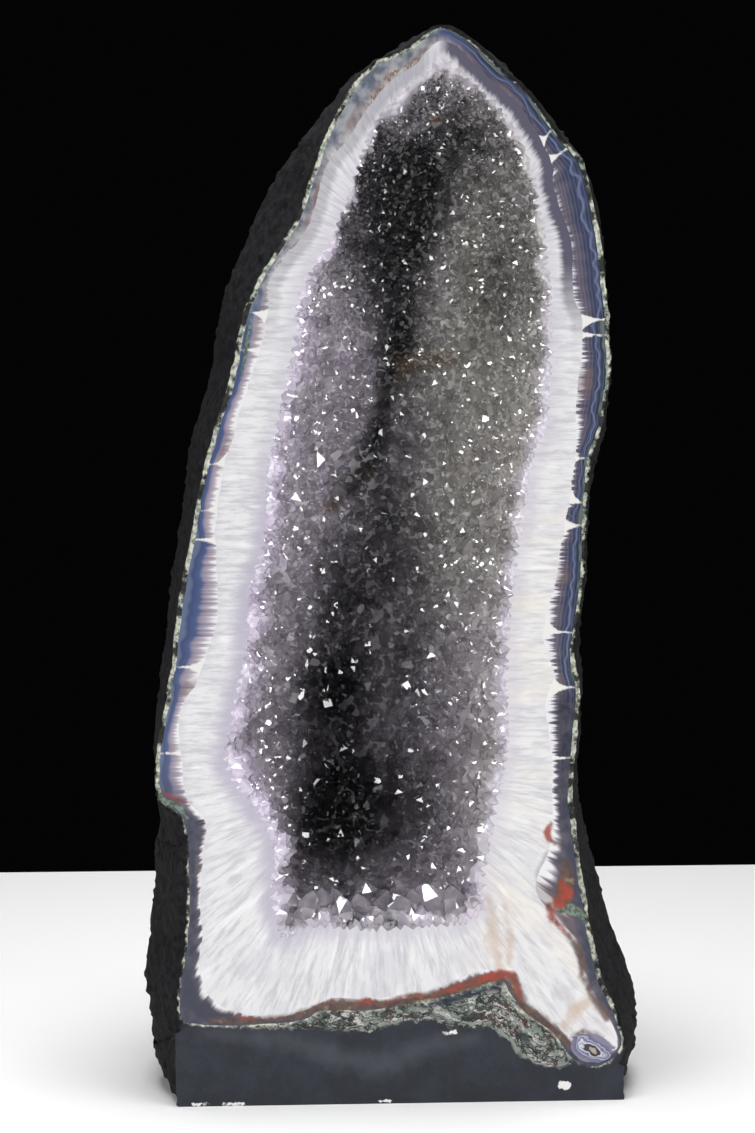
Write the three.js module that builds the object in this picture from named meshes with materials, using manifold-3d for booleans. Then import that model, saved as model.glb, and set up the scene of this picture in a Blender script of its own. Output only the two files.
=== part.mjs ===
// An amethyst cathedral: half of a tall basalt geode, sawn open and polished along one flat
// face, and sawn flat underneath so that it stands up. Millimetres, +Z up. The cut face looks
// along -Y, and the foot stands on Z = 0. From the outside in, the stone is dark basalt, a thin
// rim of banded agate, a band of white quartz, and a lining of amethyst points. The layers grew
// on each other; here each one is a solid of its own, with a gap of 0.3 mm to the next.
import * as THREE from "three";
import { mergeVertices } from "three/addons/utils/BufferGeometryUtils.js";
import Module from "manifold-3d";

const wasm = await Module();
wasm.setup();

// Driving dimensions

const TOP = 562; // the tip above the foot
const GAP = 0.35; // between one layer and the next
const CUT_FRONT = -8; // a cutting plug starts this far in front of the cut face
const CRUST = 2.2; // the least basalt left outside the agate on the cut face
const FOOT_LEFT = -114; // sides of the flat front of the foot
const FOOT_RIGHT = 121.5;
const LEFT_STRIP_TOP = 150; // the foot's basalt shows beside the agate up to these heights
const RIGHT_STRIP_TOP = 30;
const OUTLINE_STEP = 30; // longest straight run along an outline
const POINTS_STEP = 16; // the same along the amethyst, which is more jagged
const TIP_REACH = 5.5; // how far the points stand into the cavity at the cut face
const TIP_SWAY = 2; // how unevenly they do

// Deepest place of each layer's outer surface behind the cut face
const AGATE_DEPTH = 172;
const QUARTZ_DEPTH = 164;
const AMETHYST_DEPTH = 148;
const CAVITY_DEPTH = 138;

// Each layer's outer edge on the cut face, as [x, z], clockwise from the tip
const AGATE_EDGE = [
  [25, 560], [40, 552], [53, 540], [70, 525], [80, 510], [96, 490], [101, 470], [105, 448],
  [109, 410], [110, 385], [107, 358], [101, 340], [98, 305], [97, 275], [92, 235], [95, 218],
  [93, 190], [91, 165], [95, 127], [99, 103], [108, 62], [116, 45], [120, 30], [114, 21],
  [103, 18], [93, 23], [84, 36], [74, 44], [67, 49], [62, 56], [57, 64], [44, 62], [24, 57],
  [3, 53], [-12, 50], [-39, 50], [-48, 45], [-73, 43], [-94, 43], [-111, 46], [-112, 62],
  [-108, 90], [-108, 141], [-111, 152], [-121, 163], [-122, 185], [-116, 218], [-110, 262],
  [-103, 299], [-96, 337], [-84, 376], [-76, 412], [-68, 432], [-50, 460], [-40, 487],
  [-33, 506], [-25, 521], [-13, 538], [10, 550],
];
const QUARTZ_EDGE = [
  [25, 554], [40, 544], [53, 532], [66, 519], [80, 494], [83, 477], [92, 448], [93, 424],
  [97, 408], [95, 366], [94, 342], [89, 305], [83, 272], [78, 244], [83, 226], [79, 213],
  [83, 176], [81, 133], [74, 113], [89, 92], [97, 72], [105, 51], [114, 39], [117, 28],
  [104, 24], [92, 36], [80, 46], [68, 55], [61, 64], [53, 70], [31, 65], [19, 59], [0, 57],
  [-36, 55], [-48, 50], [-69, 47], [-93, 55], [-101, 68], [-101, 90], [-101, 130],
  [-99, 151], [-108, 162], [-111, 183], [-112, 206], [-102, 226], [-92, 262], [-93, 300],
  [-88, 337], [-77, 372], [-67, 405], [-64, 432], [-46, 457], [-36, 488], [-25, 503],
  [-7, 528], [11, 543],
];
const AMETHYST_EDGE = [
  [24, 545], [40, 536], [53, 523], [64, 508], [72, 488], [78, 460], [82, 425], [82, 378],
  [79, 352], [73, 338], [68, 305], [62, 265], [60, 210], [60, 184], [54, 154], [48, 120],
  [47, 102], [38, 94], [22, 93], [-12, 91], [-46, 93], [-58, 87], [-64, 100], [-66, 118],
  [-64, 133], [-73, 154], [-89, 178], [-86, 205], [-79, 240], [-77, 270], [-69, 298],
  [-67, 336], [-60, 368], [-53, 405], [-50, 426], [-35, 451], [-25, 475], [-17, 500],
  [-5, 522], [12, 536],
];

// The basalt at some heights: [z, depth, how far the left side bulges, the right side]
const BASALT = [
  [0, 184, 17, 15], [35, 190, 19, 19], [60, 196, 22, 25], [95, 201, 17, 20], [140, 205, 14, 15],
  [165, 206, 3, 13], [200, 206, 3, 10], [230, 204, 6, 9], [300, 200, 9, 8], [345, 190, 12, 11],
  [385, 175, 14, 7], [430, 150, 18, 7], [465, 127, 23, 7], [495, 104, 17, 4], [525, 78, 7, 3],
  [550, 47, 5, 3], [558, 28, 3, 2], [TOP, 12, 1, 1],
];
const FOOT_ROUND = 12; // how far the foot's lower edge turns in at the sides and the back
const FOOT_ROUND_TOP = 20;
const BASALT_COLUMNS = 22;
const BASALT_ROW = 14;
const BASALT_FULLNESS = 0.74; // 1 is an ellipse seen from above, and less is fuller
const SLIM = 40; // where the stone is narrower than this on each side, its lumps are smaller

// The middle line that every layer curves in towards, from low to high
const SPINE_LOW = new THREE.Vector2(-8, 175);
const SPINE_HIGH = new THREE.Vector2(18, 440);
const KEEL_POINTS = 7;
const BOWL_WIDTH = 0.85; // powers that make the bowls' sides steeper and their floors flatter
const BOWL_DEPTH = 0.9;

// Small helpers

const noise = (i, j) => {
  const value = Math.sin(i * 127.1 + j * 311.7) * 43758.5453;
  return value - Math.floor(value);
};

// A value at z from rows of [z, ...values], straight from one row to the next
const along = (rows, z, column) => {
  const next = rows.findIndex((row) => row[0] > z);
  if (next === 0) return rows[0][column];
  if (next < 0) return rows.at(-1)[column];
  const [low, high] = [rows[next - 1], rows[next]];
  return THREE.MathUtils.mapLinear(z, low[0], high[0], low[column], high[column]);
};

// A smooth closed loop through the corners, with no step longer than the one given
const smoothLoop = (corners, step) => {
  const points = corners.map(([x, z]) => new THREE.Vector3(x, 0, z));
  const curve = new THREE.CatmullRomCurve3(points, true, "centripetal");
  return points.flatMap((point, i) => {
    const span = point.distanceTo(points[(i + 1) % points.length]);
    const pieces = Math.ceil(span / step);
    return Array.from({ length: pieces }, (_, k) => {
      const at = curve.getPoint((i + k / pieces) / points.length);
      return new THREE.Vector2(at.x, at.z);
    });
  });
};

// Moves each corner of a clockwise loop outwards by the distance that reach gives for it
const grown = (loop, reach) =>
  loop.map((point, i) => {
    const before = loop.at(i - 1);
    const after = loop[(i + 1) % loop.length];
    const run = after.clone().sub(before).normalize();
    return point.clone().add(new THREE.Vector2(-run.y, run.x).multiplyScalar(reach(i)));
  });

const solidOf = (geometry) => {
  const bare = geometry.clone();
  bare.deleteAttribute("normal");
  bare.deleteAttribute("uv");
  const merged = mergeVertices(bare, 1e-4);
  return new wasm.Manifold(
    new wasm.Mesh({
      numProp: 3,
      vertProperties: merged.attributes.position.array,
      triVerts: new Uint32Array(merged.index.array),
    }),
  );
};

const geometryOf = (solid) => {
  const mesh = solid.getMesh();
  const geometry = new THREE.BufferGeometry();
  geometry.setAttribute("position", new THREE.BufferAttribute(mesh.vertProperties, 3));
  geometry.setIndex(new THREE.BufferAttribute(mesh.triVerts, 1));
  return geometry;
};

const geometryFrom = (points, triangles) => {
  const geometry = new THREE.BufferGeometry().setFromPoints(points);
  geometry.setIndex(triangles.flat());
  return geometry;
};

// The bowl of a layer

// Where the depth differs from an even bowl: [x, z, how far it reaches, share of the depth]
const SWELLS = [
  [2, 318, 62, -0.13],
  [-46, 262, 30, -0.1],
  [48, 400, 34, -0.1],
  [-8, 176, 52, 0.05],
];
const HOOD_EDGE = 503; // under this height the cavity drops back behind a hood of crystals
const HOOD_RIGHT = 30;
const HOOD_SHARE = 0.55;
const HOOD_BLEND = 8;

// The bowls get shallower towards the tip
const TIP_SHALLOWER = 0.7;
const NARROW_FROM = 300;
const NARROW_TO = 570;

const narrowing = (z) => 1 - TIP_SHALLOWER * THREE.MathUtils.smoothstep(z, NARROW_FROM, NARROW_TO);

const swelling = (x, z) =>
  SWELLS.reduce(
    (sum, [atX, atZ, reach, share]) =>
      sum + share * Math.exp(-((x - atX) ** 2 + (z - atZ) ** 2) / reach ** 2),
    1,
  );

const hood = (x, z) =>
  HOOD_SHARE *
  THREE.MathUtils.smoothstep(z, HOOD_EDGE - HOOD_BLEND, HOOD_EDGE + HOOD_BLEND) *
  (1 - THREE.MathUtils.smoothstep(x, HOOD_RIGHT - HOOD_BLEND, HOOD_RIGHT + HOOD_BLEND));

const HALF_CAVITY = 60; // about half the cavity's width

// How far up the spine a height is, from 0 to 1
const upSpine = (z) =>
  THREE.MathUtils.clamp((z - SPINE_LOW.y) / (SPINE_HIGH.y - SPINE_LOW.y), 0, 1);

// A point of the loop moved towards the spine: share 1 leaves it, and share 0 is on the spine
const towardsSpine = (point, share) =>
  SPINE_LOW.clone().lerp(SPINE_HIGH, upSpine(point.y)).lerp(point, share);

// A bowl: rings of points from the cut face inwards, and a keel of points along its bottom
const bowlOf = ({ loop, depth, rows, uneven = false, hooded = false, rough = 0 }) => {
  const bottom = (at) =>
    depth *
    narrowing(at.y) *
    (uneven ? swelling(at.x, at.y) : 1) *
    (hooded ? 1 - hood(at.x, at.y) : 1);
  const rings = Array.from({ length: rows + 1 }, (_, row) => {
    const turn = (row / (rows + 0.7)) * (Math.PI / 2);
    return loop.map((corner, i) => {
      const share = Math.cos(turn) ** BOWL_WIDTH;
      const jag = row === 0 ? 0 : rough * share * (noise(i, row) - 0.5);
      const at = towardsSpine(corner, share + jag / HALF_CAVITY);
      const y = row === 0 ? 0 : bottom(at) * Math.sin(turn) ** BOWL_DEPTH + jag;
      return new THREE.Vector3(at.x, y, at.y);
    });
  });
  const keel = Array.from({ length: KEEL_POINTS }, (_, k) => {
    const at = SPINE_LOW.clone().lerp(SPINE_HIGH, k / (KEEL_POINTS - 1));
    return new THREE.Vector3(at.x, bottom(at), at.y);
  });
  return { rings, keel };
};

// The closed skin of a plug that fills a bowl
const plugGeometry = ({ rings, keel }) => {
  const count = rings[0].length;
  const next = (i) => (i + 1) % count;
  const triangles = THREE.ShapeUtils.triangulateShape(
    rings[0].map((p) => new THREE.Vector2(p.x, p.z)), [],
  );
  const last = (rings.length - 1) * count;
  const keelFirst = last + count;
  const keelOf = (i) => Math.round(upSpine(rings[0][i].z) * (KEEL_POINTS - 1));
  for (let i = 0; i < count; i++) {
    for (let row = 0; row < last; row += count) {
      triangles.push([row + i, row + next(i), row + next(i) + count]);
      triangles.push([row + i, row + next(i) + count, row + i + count]);
    }
    let k = keelOf(i);
    const end = keelOf(next(i));
    triangles.push([last + i, last + next(i), keelFirst + k]);
    while (k !== end) {
      const step = Math.sign(end - k);
      triangles.push([last + next(i), keelFirst + k + step, keelFirst + k]);
      k += step;
    }
  }
  return geometryFrom([...rings.flat(), ...keel], triangles);
};

// The same bowl moved out by the gap, and carried on in front of the cut face
const loosened = (bowl, gap) => {
  const geometry = plugGeometry(bowl);
  geometry.computeVertexNormals();
  const normals = geometry.attributes.normal;
  const count = bowl.rings[0].length;
  const move = (point, n) => {
    const normal = new THREE.Vector3().fromBufferAttribute(normals, n);
    if (n < count) normal.setY(0).normalize();
    return point.clone().addScaledVector(normal, gap);
  };
  const rings = bowl.rings.map((ring, row) => ring.map((point, i) => move(point, row * count + i)));
  const keel = bowl.keel.map((point, k) => move(point, bowl.rings.length * count + k));
  return { rings: [rings[0].map((p) => new THREE.Vector3(p.x, CUT_FRONT, p.z)), ...rings], keel };
};

// The layers' edges

const agateLoop = smoothLoop(AGATE_EDGE, OUTLINE_STEP);
const quartzLoop = smoothLoop(QUARTZ_EDGE, OUTLINE_STEP);
const amethystLoop = smoothLoop(AMETHYST_EDGE, OUTLINE_STEP);
const tipsLoop = grown(
  smoothLoop(AMETHYST_EDGE, POINTS_STEP),
  (i) => -TIP_REACH + (i % 2 ? TIP_SWAY : -TIP_SWAY) * (0.5 + noise(i, 3)),
);

const layer = (loop, depth, options = {}) => ({ loop, depth, rows: 3, ...options });
const agateBowl = layer(agateLoop, AGATE_DEPTH);
const quartzBowl = layer(quartzLoop, QUARTZ_DEPTH);
const amethystBowl = layer(amethystLoop, AMETHYST_DEPTH, { uneven: true, rows: 4 });
const cavityBowl = layer(tipsLoop, CAVITY_DEPTH, {
  uneven: true, hooded: true, rows: 8, rough: 6,
});

const fill = (bowl) => solidOf(plugGeometry(bowlOf(bowl)));
const cutter = (bowl, gap = GAP) => solidOf(plugGeometry(loosened(bowlOf(bowl), gap)));

// The basalt

// The crust keeps its width outside the agate all the way round
const crustLoop = grown(agateLoop, () => CRUST);
const NEAR = 2;

// How far the crust reaches to one side at a height or just above or below it
const crustReach = (z, side) => {
  const heights = [z - NEAR, z, Math.min(z + NEAR, TOP)];
  const crossings = crustLoop.flatMap((a, i) => {
    const b = crustLoop[(i + 1) % crustLoop.length];
    return heights
      .filter((height) => (a.y - height) * (b.y - height) < 0)
      .map((height) => side * THREE.MathUtils.mapLinear(height, a.y, b.y, a.x, b.x));
  });
  return Math.max(...crossings);
};

// Where the cut face ends at a height: side is -1 for the left edge and 1 for the right one
const faceEdge = (z, side) => {
  const [foot, top] = side < 0 ? [-FOOT_LEFT, LEFT_STRIP_TOP] : [FOOT_RIGHT, RIGHT_STRIP_TOP];
  return side * Math.max(crustReach(z, side), z <= top ? foot : -Infinity);
};

// Soft swellings of the basalt: [height, waves in the whole height, waves across the back, start]
const LUMPS = [
  [2.6, 2.5, 2, 0.4], [2, 4.5, 5, 2.1], [1.7, 8, 4, 4.4], [1.4, 7, 9, 1.2], [1.1, 13, 7, 3.3],
];

const lumps = (z, turn) =>
  LUMPS.reduce((sum, [height, waves, across, start]) => {
    const up = (z / TOP) * waves * 2 * Math.PI + start;
    return sum + height * Math.sin(up + Math.sin(turn * 3)) * Math.cos(across * turn + start * 2);
  }, 0);

const basaltRow = (z) => {
  const left = faceEdge(z, -1);
  const right = faceEdge(z, 1);
  const middle = (left + right) / 2;
  const half = (right - left) / 2;
  const turnIn = FOOT_ROUND * Math.max(0, 1 - z / FOOT_ROUND_TOP) ** 2;
  return Array.from({ length: BASALT_COLUMNS + 1 }, (_, column) => {
    const turn = (column / BASALT_COLUMNS) * Math.PI;
    const side = turn < Math.PI / 2 ? -1 : 1;
    const fromFace = 1 - Math.abs(turn - Math.PI / 2) / (Math.PI / 2);
    const onFace = column === 0 || column === BASALT_COLUMNS;
    if (onFace) return new THREE.Vector3(side < 0 ? left : right, 0, z);
    const bulge = along(BASALT, z, side < 0 ? 2 : 3) * Math.sin(Math.PI * Math.sqrt(fromFace));
    const small = THREE.MathUtils.clamp(half / SLIM, 0, 1) * Math.min(1, 4 * fromFace);
    const out = half + bulge + lumps(z, turn) * small - turnIn;
    const back = along(BASALT, z, 1) + lumps(z, turn) * small - turnIn;
    const aside = Math.abs(Math.cos(turn)) ** BASALT_FULLNESS;
    return new THREE.Vector3(
      middle + side * out * aside,
      back * Math.sin(turn) ** BASALT_FULLNESS,
      z,
    );
  });
};

const basaltBody = () => {
  const heights = [0, 4, 10, FOOT_ROUND_TOP];
  while (heights.at(-1) < TOP - BASALT_ROW) heights.push(heights.at(-1) + BASALT_ROW);
  heights.push(TOP - 4, TOP);
  const rows = heights.map(basaltRow);
  const count = BASALT_COLUMNS + 1;
  const triangles = [];
  rows.slice(1).forEach((_, row) => {
    for (let i = 0; i < count; i++) {
      const a = row * count + i;
      const b = row * count + ((i + 1) % count);
      triangles.push([a, b + count, b], [a, a + count, b + count]);
    }
  });
  const cap = (row) =>
    THREE.ShapeUtils.triangulateShape(rows[row].map((p) => new THREE.Vector2(p.x, p.y)), [])
      .map((triangle) => triangle.map((corner) => corner + row * count));
  triangles.push(...cap(0).map(([a, b, c]) => [a, c, b]));
  triangles.push(...cap(rows.length - 1));
  return solidOf(geometryFrom(rows.flat(), triangles));
};

// The agate nodule, a small almond flush with the cut face

const NODULE_AT = new THREE.Vector3(104, 0, 28);
const NODULE_RADII = new THREE.Vector3(10.5, 9, 7);
const NODULE_TILT = THREE.MathUtils.degToRad(12);
const NODULE_SIDES = 18;

const nodule = (gap) => {
  const almond = new THREE.SphereGeometry(1, NODULE_SIDES, 10)
    .scale(NODULE_RADII.x + gap, NODULE_RADII.y + gap, NODULE_RADII.z + gap)
    .rotateY(NODULE_TILT)
    .translate(NODULE_AT.x, NODULE_AT.y, NODULE_AT.z);
  return solidOf(almond);
};

// Everything behind the cut face
const AMPLE = 800;
const behindFace = solidOf(
  new THREE.BoxGeometry(AMPLE, AMPLE, AMPLE).translate(0, AMPLE / 2, AMPLE / 2),
);

// The larger amethyst points

const POINT_COUNT = 34;
const POINT_ROWS = [1, 2, 3, 4, 5, 6];
const POINT_LOW = { z: 90, radius: 6.5 };
const POINT_HIGH = { z: 520, radius: 3.2 };
const ROOT = 1.6; // how far a point's root and its sloping end reach, for each mm of its radius
const POINT_END = 1.25;
const sizeShare = (n) => 0.8 + 0.4 * noise(n, 9);
const AIM_LOW = 170; // the points look towards the middle of the cavity
const AIM_HIGH = 430;

const crystal = (radius, height, at, direction, spin) => {
  const profile = [
    new THREE.Vector2(0, -radius * ROOT),
    new THREE.Vector2(radius, -radius * ROOT),
    new THREE.Vector2(radius, height - radius * POINT_END),
    new THREE.Vector2(0, height),
  ];
  const geometry = new THREE.LatheGeometry(profile, 6);
  geometry.rotateY(spin);
  geometry.applyQuaternion(
    new THREE.Quaternion().setFromUnitVectors(new THREE.Vector3(0, 1, 0), direction),
  );
  geometry.translate(at.x, at.y, at.z);
  const made = solidOf(geometry);
  return made.volume() > 0 ? made : null;
};

const largePoints = () => {
  const { rings } = bowlOf(cavityBowl);
  return Array.from({ length: POINT_COUNT }, (_, n) => {
    const ring = rings[POINT_ROWS[n % POINT_ROWS.length]];
    const at = ring[Math.floor(noise(n, 7) * ring.length)];
    const { z: low, radius: wide } = POINT_LOW;
    const { z: high, radius: narrow } = POINT_HIGH;
    const radius = THREE.MathUtils.mapLinear(at.z, low, high, wide, narrow) * sizeShare(n);
    const aim = new THREE.Vector3(0, 20, THREE.MathUtils.clamp(at.z, AIM_LOW, AIM_HIGH));
    const direction = aim.sub(at).normalize();
    return crystal(radius, radius * 1.5, at, direction, noise(n, 11) * Math.PI);
  }).filter(Boolean);
};

// The stone, layer by layer

const agatePlug = fill(agateBowl);
const quartzPlug = fill(quartzBowl);
const amethystPlug = fill(amethystBowl);
const noduleHole = nodule(GAP);

const basalt = basaltBody().subtract(cutter(agateBowl)).subtract(noduleHole);
const agate = agatePlug.subtract(cutter(quartzBowl)).subtract(noduleHole);
const quartz = quartzPlug.subtract(cutter(amethystBowl)).subtract(noduleHole);
const lining = amethystPlug.subtract(cutter(cavityBowl, 0));
const [amethyst] = wasm.Manifold.union([lining, ...largePoints()])
  .intersect(amethystPlug)
  .intersect(behindFace)
  .decompose()
  .sort((one, other) => other.volume() - one.volume());
const almond = nodule(0).intersect(behindFace);

const MATERIALS = {
  basalt: { color: 0x2b2d30, roughness: 0.92 },
  agate: { color: 0x596273, roughness: 0.22 },
  quartz: { color: 0xe4e1e4, roughness: 0.3 },
  amethyst: { color: 0x8a8292, roughness: 0.12 },
  nodule: { color: 0x8d90a3, roughness: 0.22 },
};

const stone = new THREE.Group();
const addNode = (name, solid, look) => {
  const material = new THREE.MeshStandardMaterial({ metalness: 0, ...look });
  const mesh = new THREE.Mesh(geometryOf(solid), material);
  mesh.name = name;
  stone.add(mesh);
};
addNode("basalt_matrix", basalt, MATERIALS.basalt);
addNode("agate_rim", agate, MATERIALS.agate);
addNode("quartz_band", quartz, MATERIALS.quartz);
addNode("amethyst_lining", amethyst, MATERIALS.amethyst);
addNode("agate_nodule", almond, MATERIALS.nodule);

// The part's origin is under the middle of the stone
const middle = new THREE.Box3().setFromObject(stone).getCenter(new THREE.Vector3());
stone.position.set(-middle.x, -middle.y, 0);
const geode = new THREE.Group();
geode.add(stone);

export default geode;
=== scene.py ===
import math

import bpy
import numpy as np
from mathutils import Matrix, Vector, noise
from mathutils.bvhtree import BVHTree
from mathutils.geometry import delaunay_2d_cdt


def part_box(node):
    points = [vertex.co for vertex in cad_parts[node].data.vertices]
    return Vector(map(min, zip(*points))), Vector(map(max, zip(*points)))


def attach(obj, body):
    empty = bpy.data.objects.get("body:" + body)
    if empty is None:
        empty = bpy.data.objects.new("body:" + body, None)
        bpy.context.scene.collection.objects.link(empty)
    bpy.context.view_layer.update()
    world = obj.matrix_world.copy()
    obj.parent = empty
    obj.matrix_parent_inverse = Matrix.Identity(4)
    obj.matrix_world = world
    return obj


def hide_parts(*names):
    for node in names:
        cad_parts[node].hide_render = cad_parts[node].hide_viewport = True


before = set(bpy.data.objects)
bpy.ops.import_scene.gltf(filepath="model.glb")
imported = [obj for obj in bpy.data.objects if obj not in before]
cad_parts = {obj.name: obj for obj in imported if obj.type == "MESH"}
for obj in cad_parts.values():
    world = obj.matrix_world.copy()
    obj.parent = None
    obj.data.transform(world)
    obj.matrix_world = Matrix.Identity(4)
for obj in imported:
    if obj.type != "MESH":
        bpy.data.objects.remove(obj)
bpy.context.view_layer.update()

MM = 0.001
RNG = np.random.default_rng(20)

# The stone's own drawing has its zero near the middle of the cut face. The nodule's centre is
# 104 mm to the right of that zero, and the cut face is the agate rim's foremost plane.
NODULE_CENTRE = np.array([104.0, 28.0])
nodule_low, nodule_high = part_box("agate_nodule")
ZERO_X = (nodule_low.x + nodule_high.x) / 2 - NODULE_CENTRE[0] * MM
FACE_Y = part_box("agate_rim")[0].y
TOP_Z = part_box("basalt_matrix")[1].z

OUTSIDE = -99.0        # the depth kept for a place that is far from a mark, in mm

# The middle line that all the layers curve in towards
SPINE_LOW = np.array([-8.0, 175.0])
SPINE_HIGH = np.array([18.0, 440.0])


# ---------------------------------------------------------------- places on the cut face

def in_frame(points, back=0.0):
    """Face places [x, z] in mm, and how far behind the face they are, as points in metres."""
    points = np.asarray(points, float)
    back = np.broadcast_to(back, len(points))
    return np.column_stack([
        points[:, 0] * MM + ZERO_X, FACE_Y + np.asarray(back) * MM, points[:, 1] * MM,
    ])


def on_drawing(points):
    """Points in metres as places [x, z] on the face and depths behind it, in mm."""
    points = np.asarray(points, float)
    flat = np.column_stack([(points[:, 0] - ZERO_X) / MM, points[:, 2] / MM])
    return flat, (points[:, 1] - FACE_Y) / MM


def unit(vectors):
    """The vectors, each with a length of 1."""
    return vectors / np.maximum(np.linalg.norm(vectors, axis=-1, keepdims=True), 1e-12)


def held(values):
    """The values, held between 0 and 1."""
    return np.clip(values, 0, 1)


def share_up(places):
    """How far up the middle line each place is, from 0 to 1."""
    return held((places[:, 1] - SPINE_LOW[1]) / (SPINE_HIGH[1] - SPINE_LOW[1]))


def on_spine(share):
    """The points of the middle line at some shares of its length."""
    return SPINE_LOW + share[:, None] * (SPINE_HIGH - SPINE_LOW)


def spine_point(places):
    """The point of the middle line that a face place curves in towards."""
    return on_spine(share_up(places))


def on_right_side(places):
    return places[:, 0] > spine_point(places)[:, 0]


def blocks(count, size=4000):
    """Slices that go through a long array in parts, to save memory."""
    return [slice(start, start + size) for start in range(0, count, size)]


def distance_to(path, places, closed=False):
    """How far each place is from a path of points, in mm."""
    path = np.asarray(path, float)
    starts = path if closed else path[:-1]
    ends = np.roll(path, -1, axis=0) if closed else path[1:]
    nearest = np.full(len(places), np.inf)
    runs = ends - starts
    lengths = np.maximum((runs ** 2).sum(1), 1e-12)
    for some in blocks(len(places)):
        way = places[some, None, :] - starts
        share = held((way * runs).sum(2) / lengths)
        nearest[some] = np.sqrt(((way - share[:, :, None] * runs) ** 2).sum(2).min(1))
    return nearest


def rim_way(places):
    """Where a place looks to from the middle line: the same all along one growing crystal."""
    middle = spine_point(places)
    turned = unit(places - middle) * 90
    return np.column_stack([turned[:, 0], middle[:, 1], turned[:, 1]])


def strokes_at(strokes, places):
    """How deep inside the nearest stroke each place is, in mm. Below zero is outside.

    A stroke is a path of [x, z, half width] corners.
    """
    depth = np.full(len(places), OUTSIDE)
    for stroke in strokes:
        stroke = np.asarray(stroke, float)
        for a, b in zip(stroke[:-1], stroke[1:]):
            run = b[:2] - a[:2]
            share = held(((places - a[:2]) @ run) / max(run @ run, 1e-9))
            gap = np.linalg.norm(places - a[:2] - share[:, None] * run, axis=1)
            depth = np.maximum(depth, a[2] + share * (b[2] - a[2]) - gap)
    return depth


def inside(loop, places):
    """Which places are inside a closed loop."""
    ends = np.roll(loop, -1, axis=0)
    within = np.zeros(len(places), bool)
    rise = ends[:, 1] - loop[:, 1]
    rise = np.where(np.abs(rise) < 1e-12, 1e-12, rise)
    for some in blocks(len(places)):
        x, z = places[some, 0, None], places[some, 1, None]
        spans = (loop[:, 1] > z) != (ends[:, 1] > z)
        crossing = loop[:, 0] + (z - loop[:, 1]) / rise * (ends[:, 0] - loop[:, 0])
        within[some] = ((spans & (x < crossing)).sum(1) % 2) == 1
    return within


def ripple(points, size, seed, detail=3):
    """Even natural noise, about -1 to 1, with bumps of the size given in the points' own unit."""
    offset = Vector((seed * 7.3, seed * 3.1, seed * 5.7))
    points = np.asarray(points, float)
    if points.shape[1] == 2:
        points = np.column_stack([points, np.zeros(len(points))])
    return np.array([noise.fractal(Vector(p) / size + offset, 0.9, 2.1, detail) for p in points])


# ---------------------------------------------------------------- the layers' outlines

def merged(points, near):
    """The first point at each place, and which of those each of the points becomes."""
    keys = np.round(points / near).astype(np.int64)
    _, first, same = np.unique(keys, axis=0, return_index=True, return_inverse=True)
    return first, same.reshape(-1)


def triangles_of(mesh):
    mesh.calc_loop_triangles()
    return np.array([t.vertices for t in mesh.loop_triangles])


def welded(mesh):
    """A mesh's points and triangles, with points at the same place made one."""
    points = np.array([v.co for v in mesh.vertices])
    first, same = merged(points, 2e-6)
    return points[first], same[triangles_of(mesh)]


def face_loops(node):
    """The outlines of a CAD node on the cut face, the longest first, clockwise from the front."""
    points, triangles = welded(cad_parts[node].data)
    flat = (points[triangles][:, :, 1] < FACE_Y + 2e-5).all(1)
    follows = {}
    for a, b, c in triangles[flat]:
        for start, end in ((a, b), (b, c), (c, a)):
            if follows.get((end, start)):
                del follows[(end, start)]
            else:
                follows[(start, end)] = True
    after = {start: end for start, end in follows}
    loops = []
    while after:
        start, here = after.popitem()
        loop = [start]
        while here != start:
            loop.append(here)
            here = after.pop(here)
        places, _ = on_drawing(points[loop])
        area = np.sum(places[:, 0] * np.roll(places[:, 1], -1)
                      - np.roll(places[:, 0], -1) * places[:, 1])
        loops.append(places if area < 0 else places[::-1])
    return sorted(loops, key=lambda p: -np.ptp(p, axis=0).sum())


def smooth_loop(loop, spacing):
    """A smooth closed curve through the loop's corners, with even steps."""
    keep = np.linalg.norm(loop - np.roll(loop, 1, axis=0), axis=1) > 0.6
    loop = loop[keep]
    before, after = np.roll(loop, 1, axis=0), np.roll(loop, -1, axis=0)
    beyond = np.roll(loop, -2, axis=0)
    curve = []
    for a, b, c, d in zip(before, loop, after, beyond):
        spans = [max(np.linalg.norm(q - p) ** 0.5, 1e-6) for p, q in ((a, b), (b, c), (c, d))]
        out = (b - a) / spans[0] - (c - a) / (spans[0] + spans[1]) + (c - b) / spans[1]
        inn = (c - b) / spans[1] - (d - b) / (spans[1] + spans[2]) + (d - c) / spans[2]
        out, inn = out * spans[1], inn * spans[1]
        steps = max(int(np.linalg.norm(c - b) / 0.5), 1)
        t = (np.arange(steps) / steps)[:, None]
        curve.append((2 * t ** 3 - 3 * t ** 2 + 1) * b + (t ** 3 - 2 * t ** 2 + t) * out
                     + (3 * t ** 2 - 2 * t ** 3) * c + (t ** 3 - t ** 2) * inn)
    return even_steps(np.vstack(curve), spacing)


def even_steps(curve, spacing):
    """The same closed curve with points at even steps."""
    closed = np.vstack([curve, curve[:1]])
    along = np.concatenate([[0], np.cumsum(np.linalg.norm(np.diff(closed, axis=0), axis=1))])
    count = int(round(along[-1] / spacing))
    at = np.arange(count) / count * along[-1]
    return np.column_stack([np.interp(at, along, closed[:, i]) for i in range(2)])


def outward(loop):
    """The direction out of a clockwise loop at each of its points."""
    run = unit(np.roll(loop, -1, axis=0) - np.roll(loop, 1, axis=0))
    return np.column_stack([-run[:, 1], run[:, 0]])


def wavered(loop, size, height, seed):
    """A loop whose edge wanders in and out, as a broken or grown edge does."""
    return loop + outward(loop) * (height * ripple(loop, size, seed))[:, None]


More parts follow.
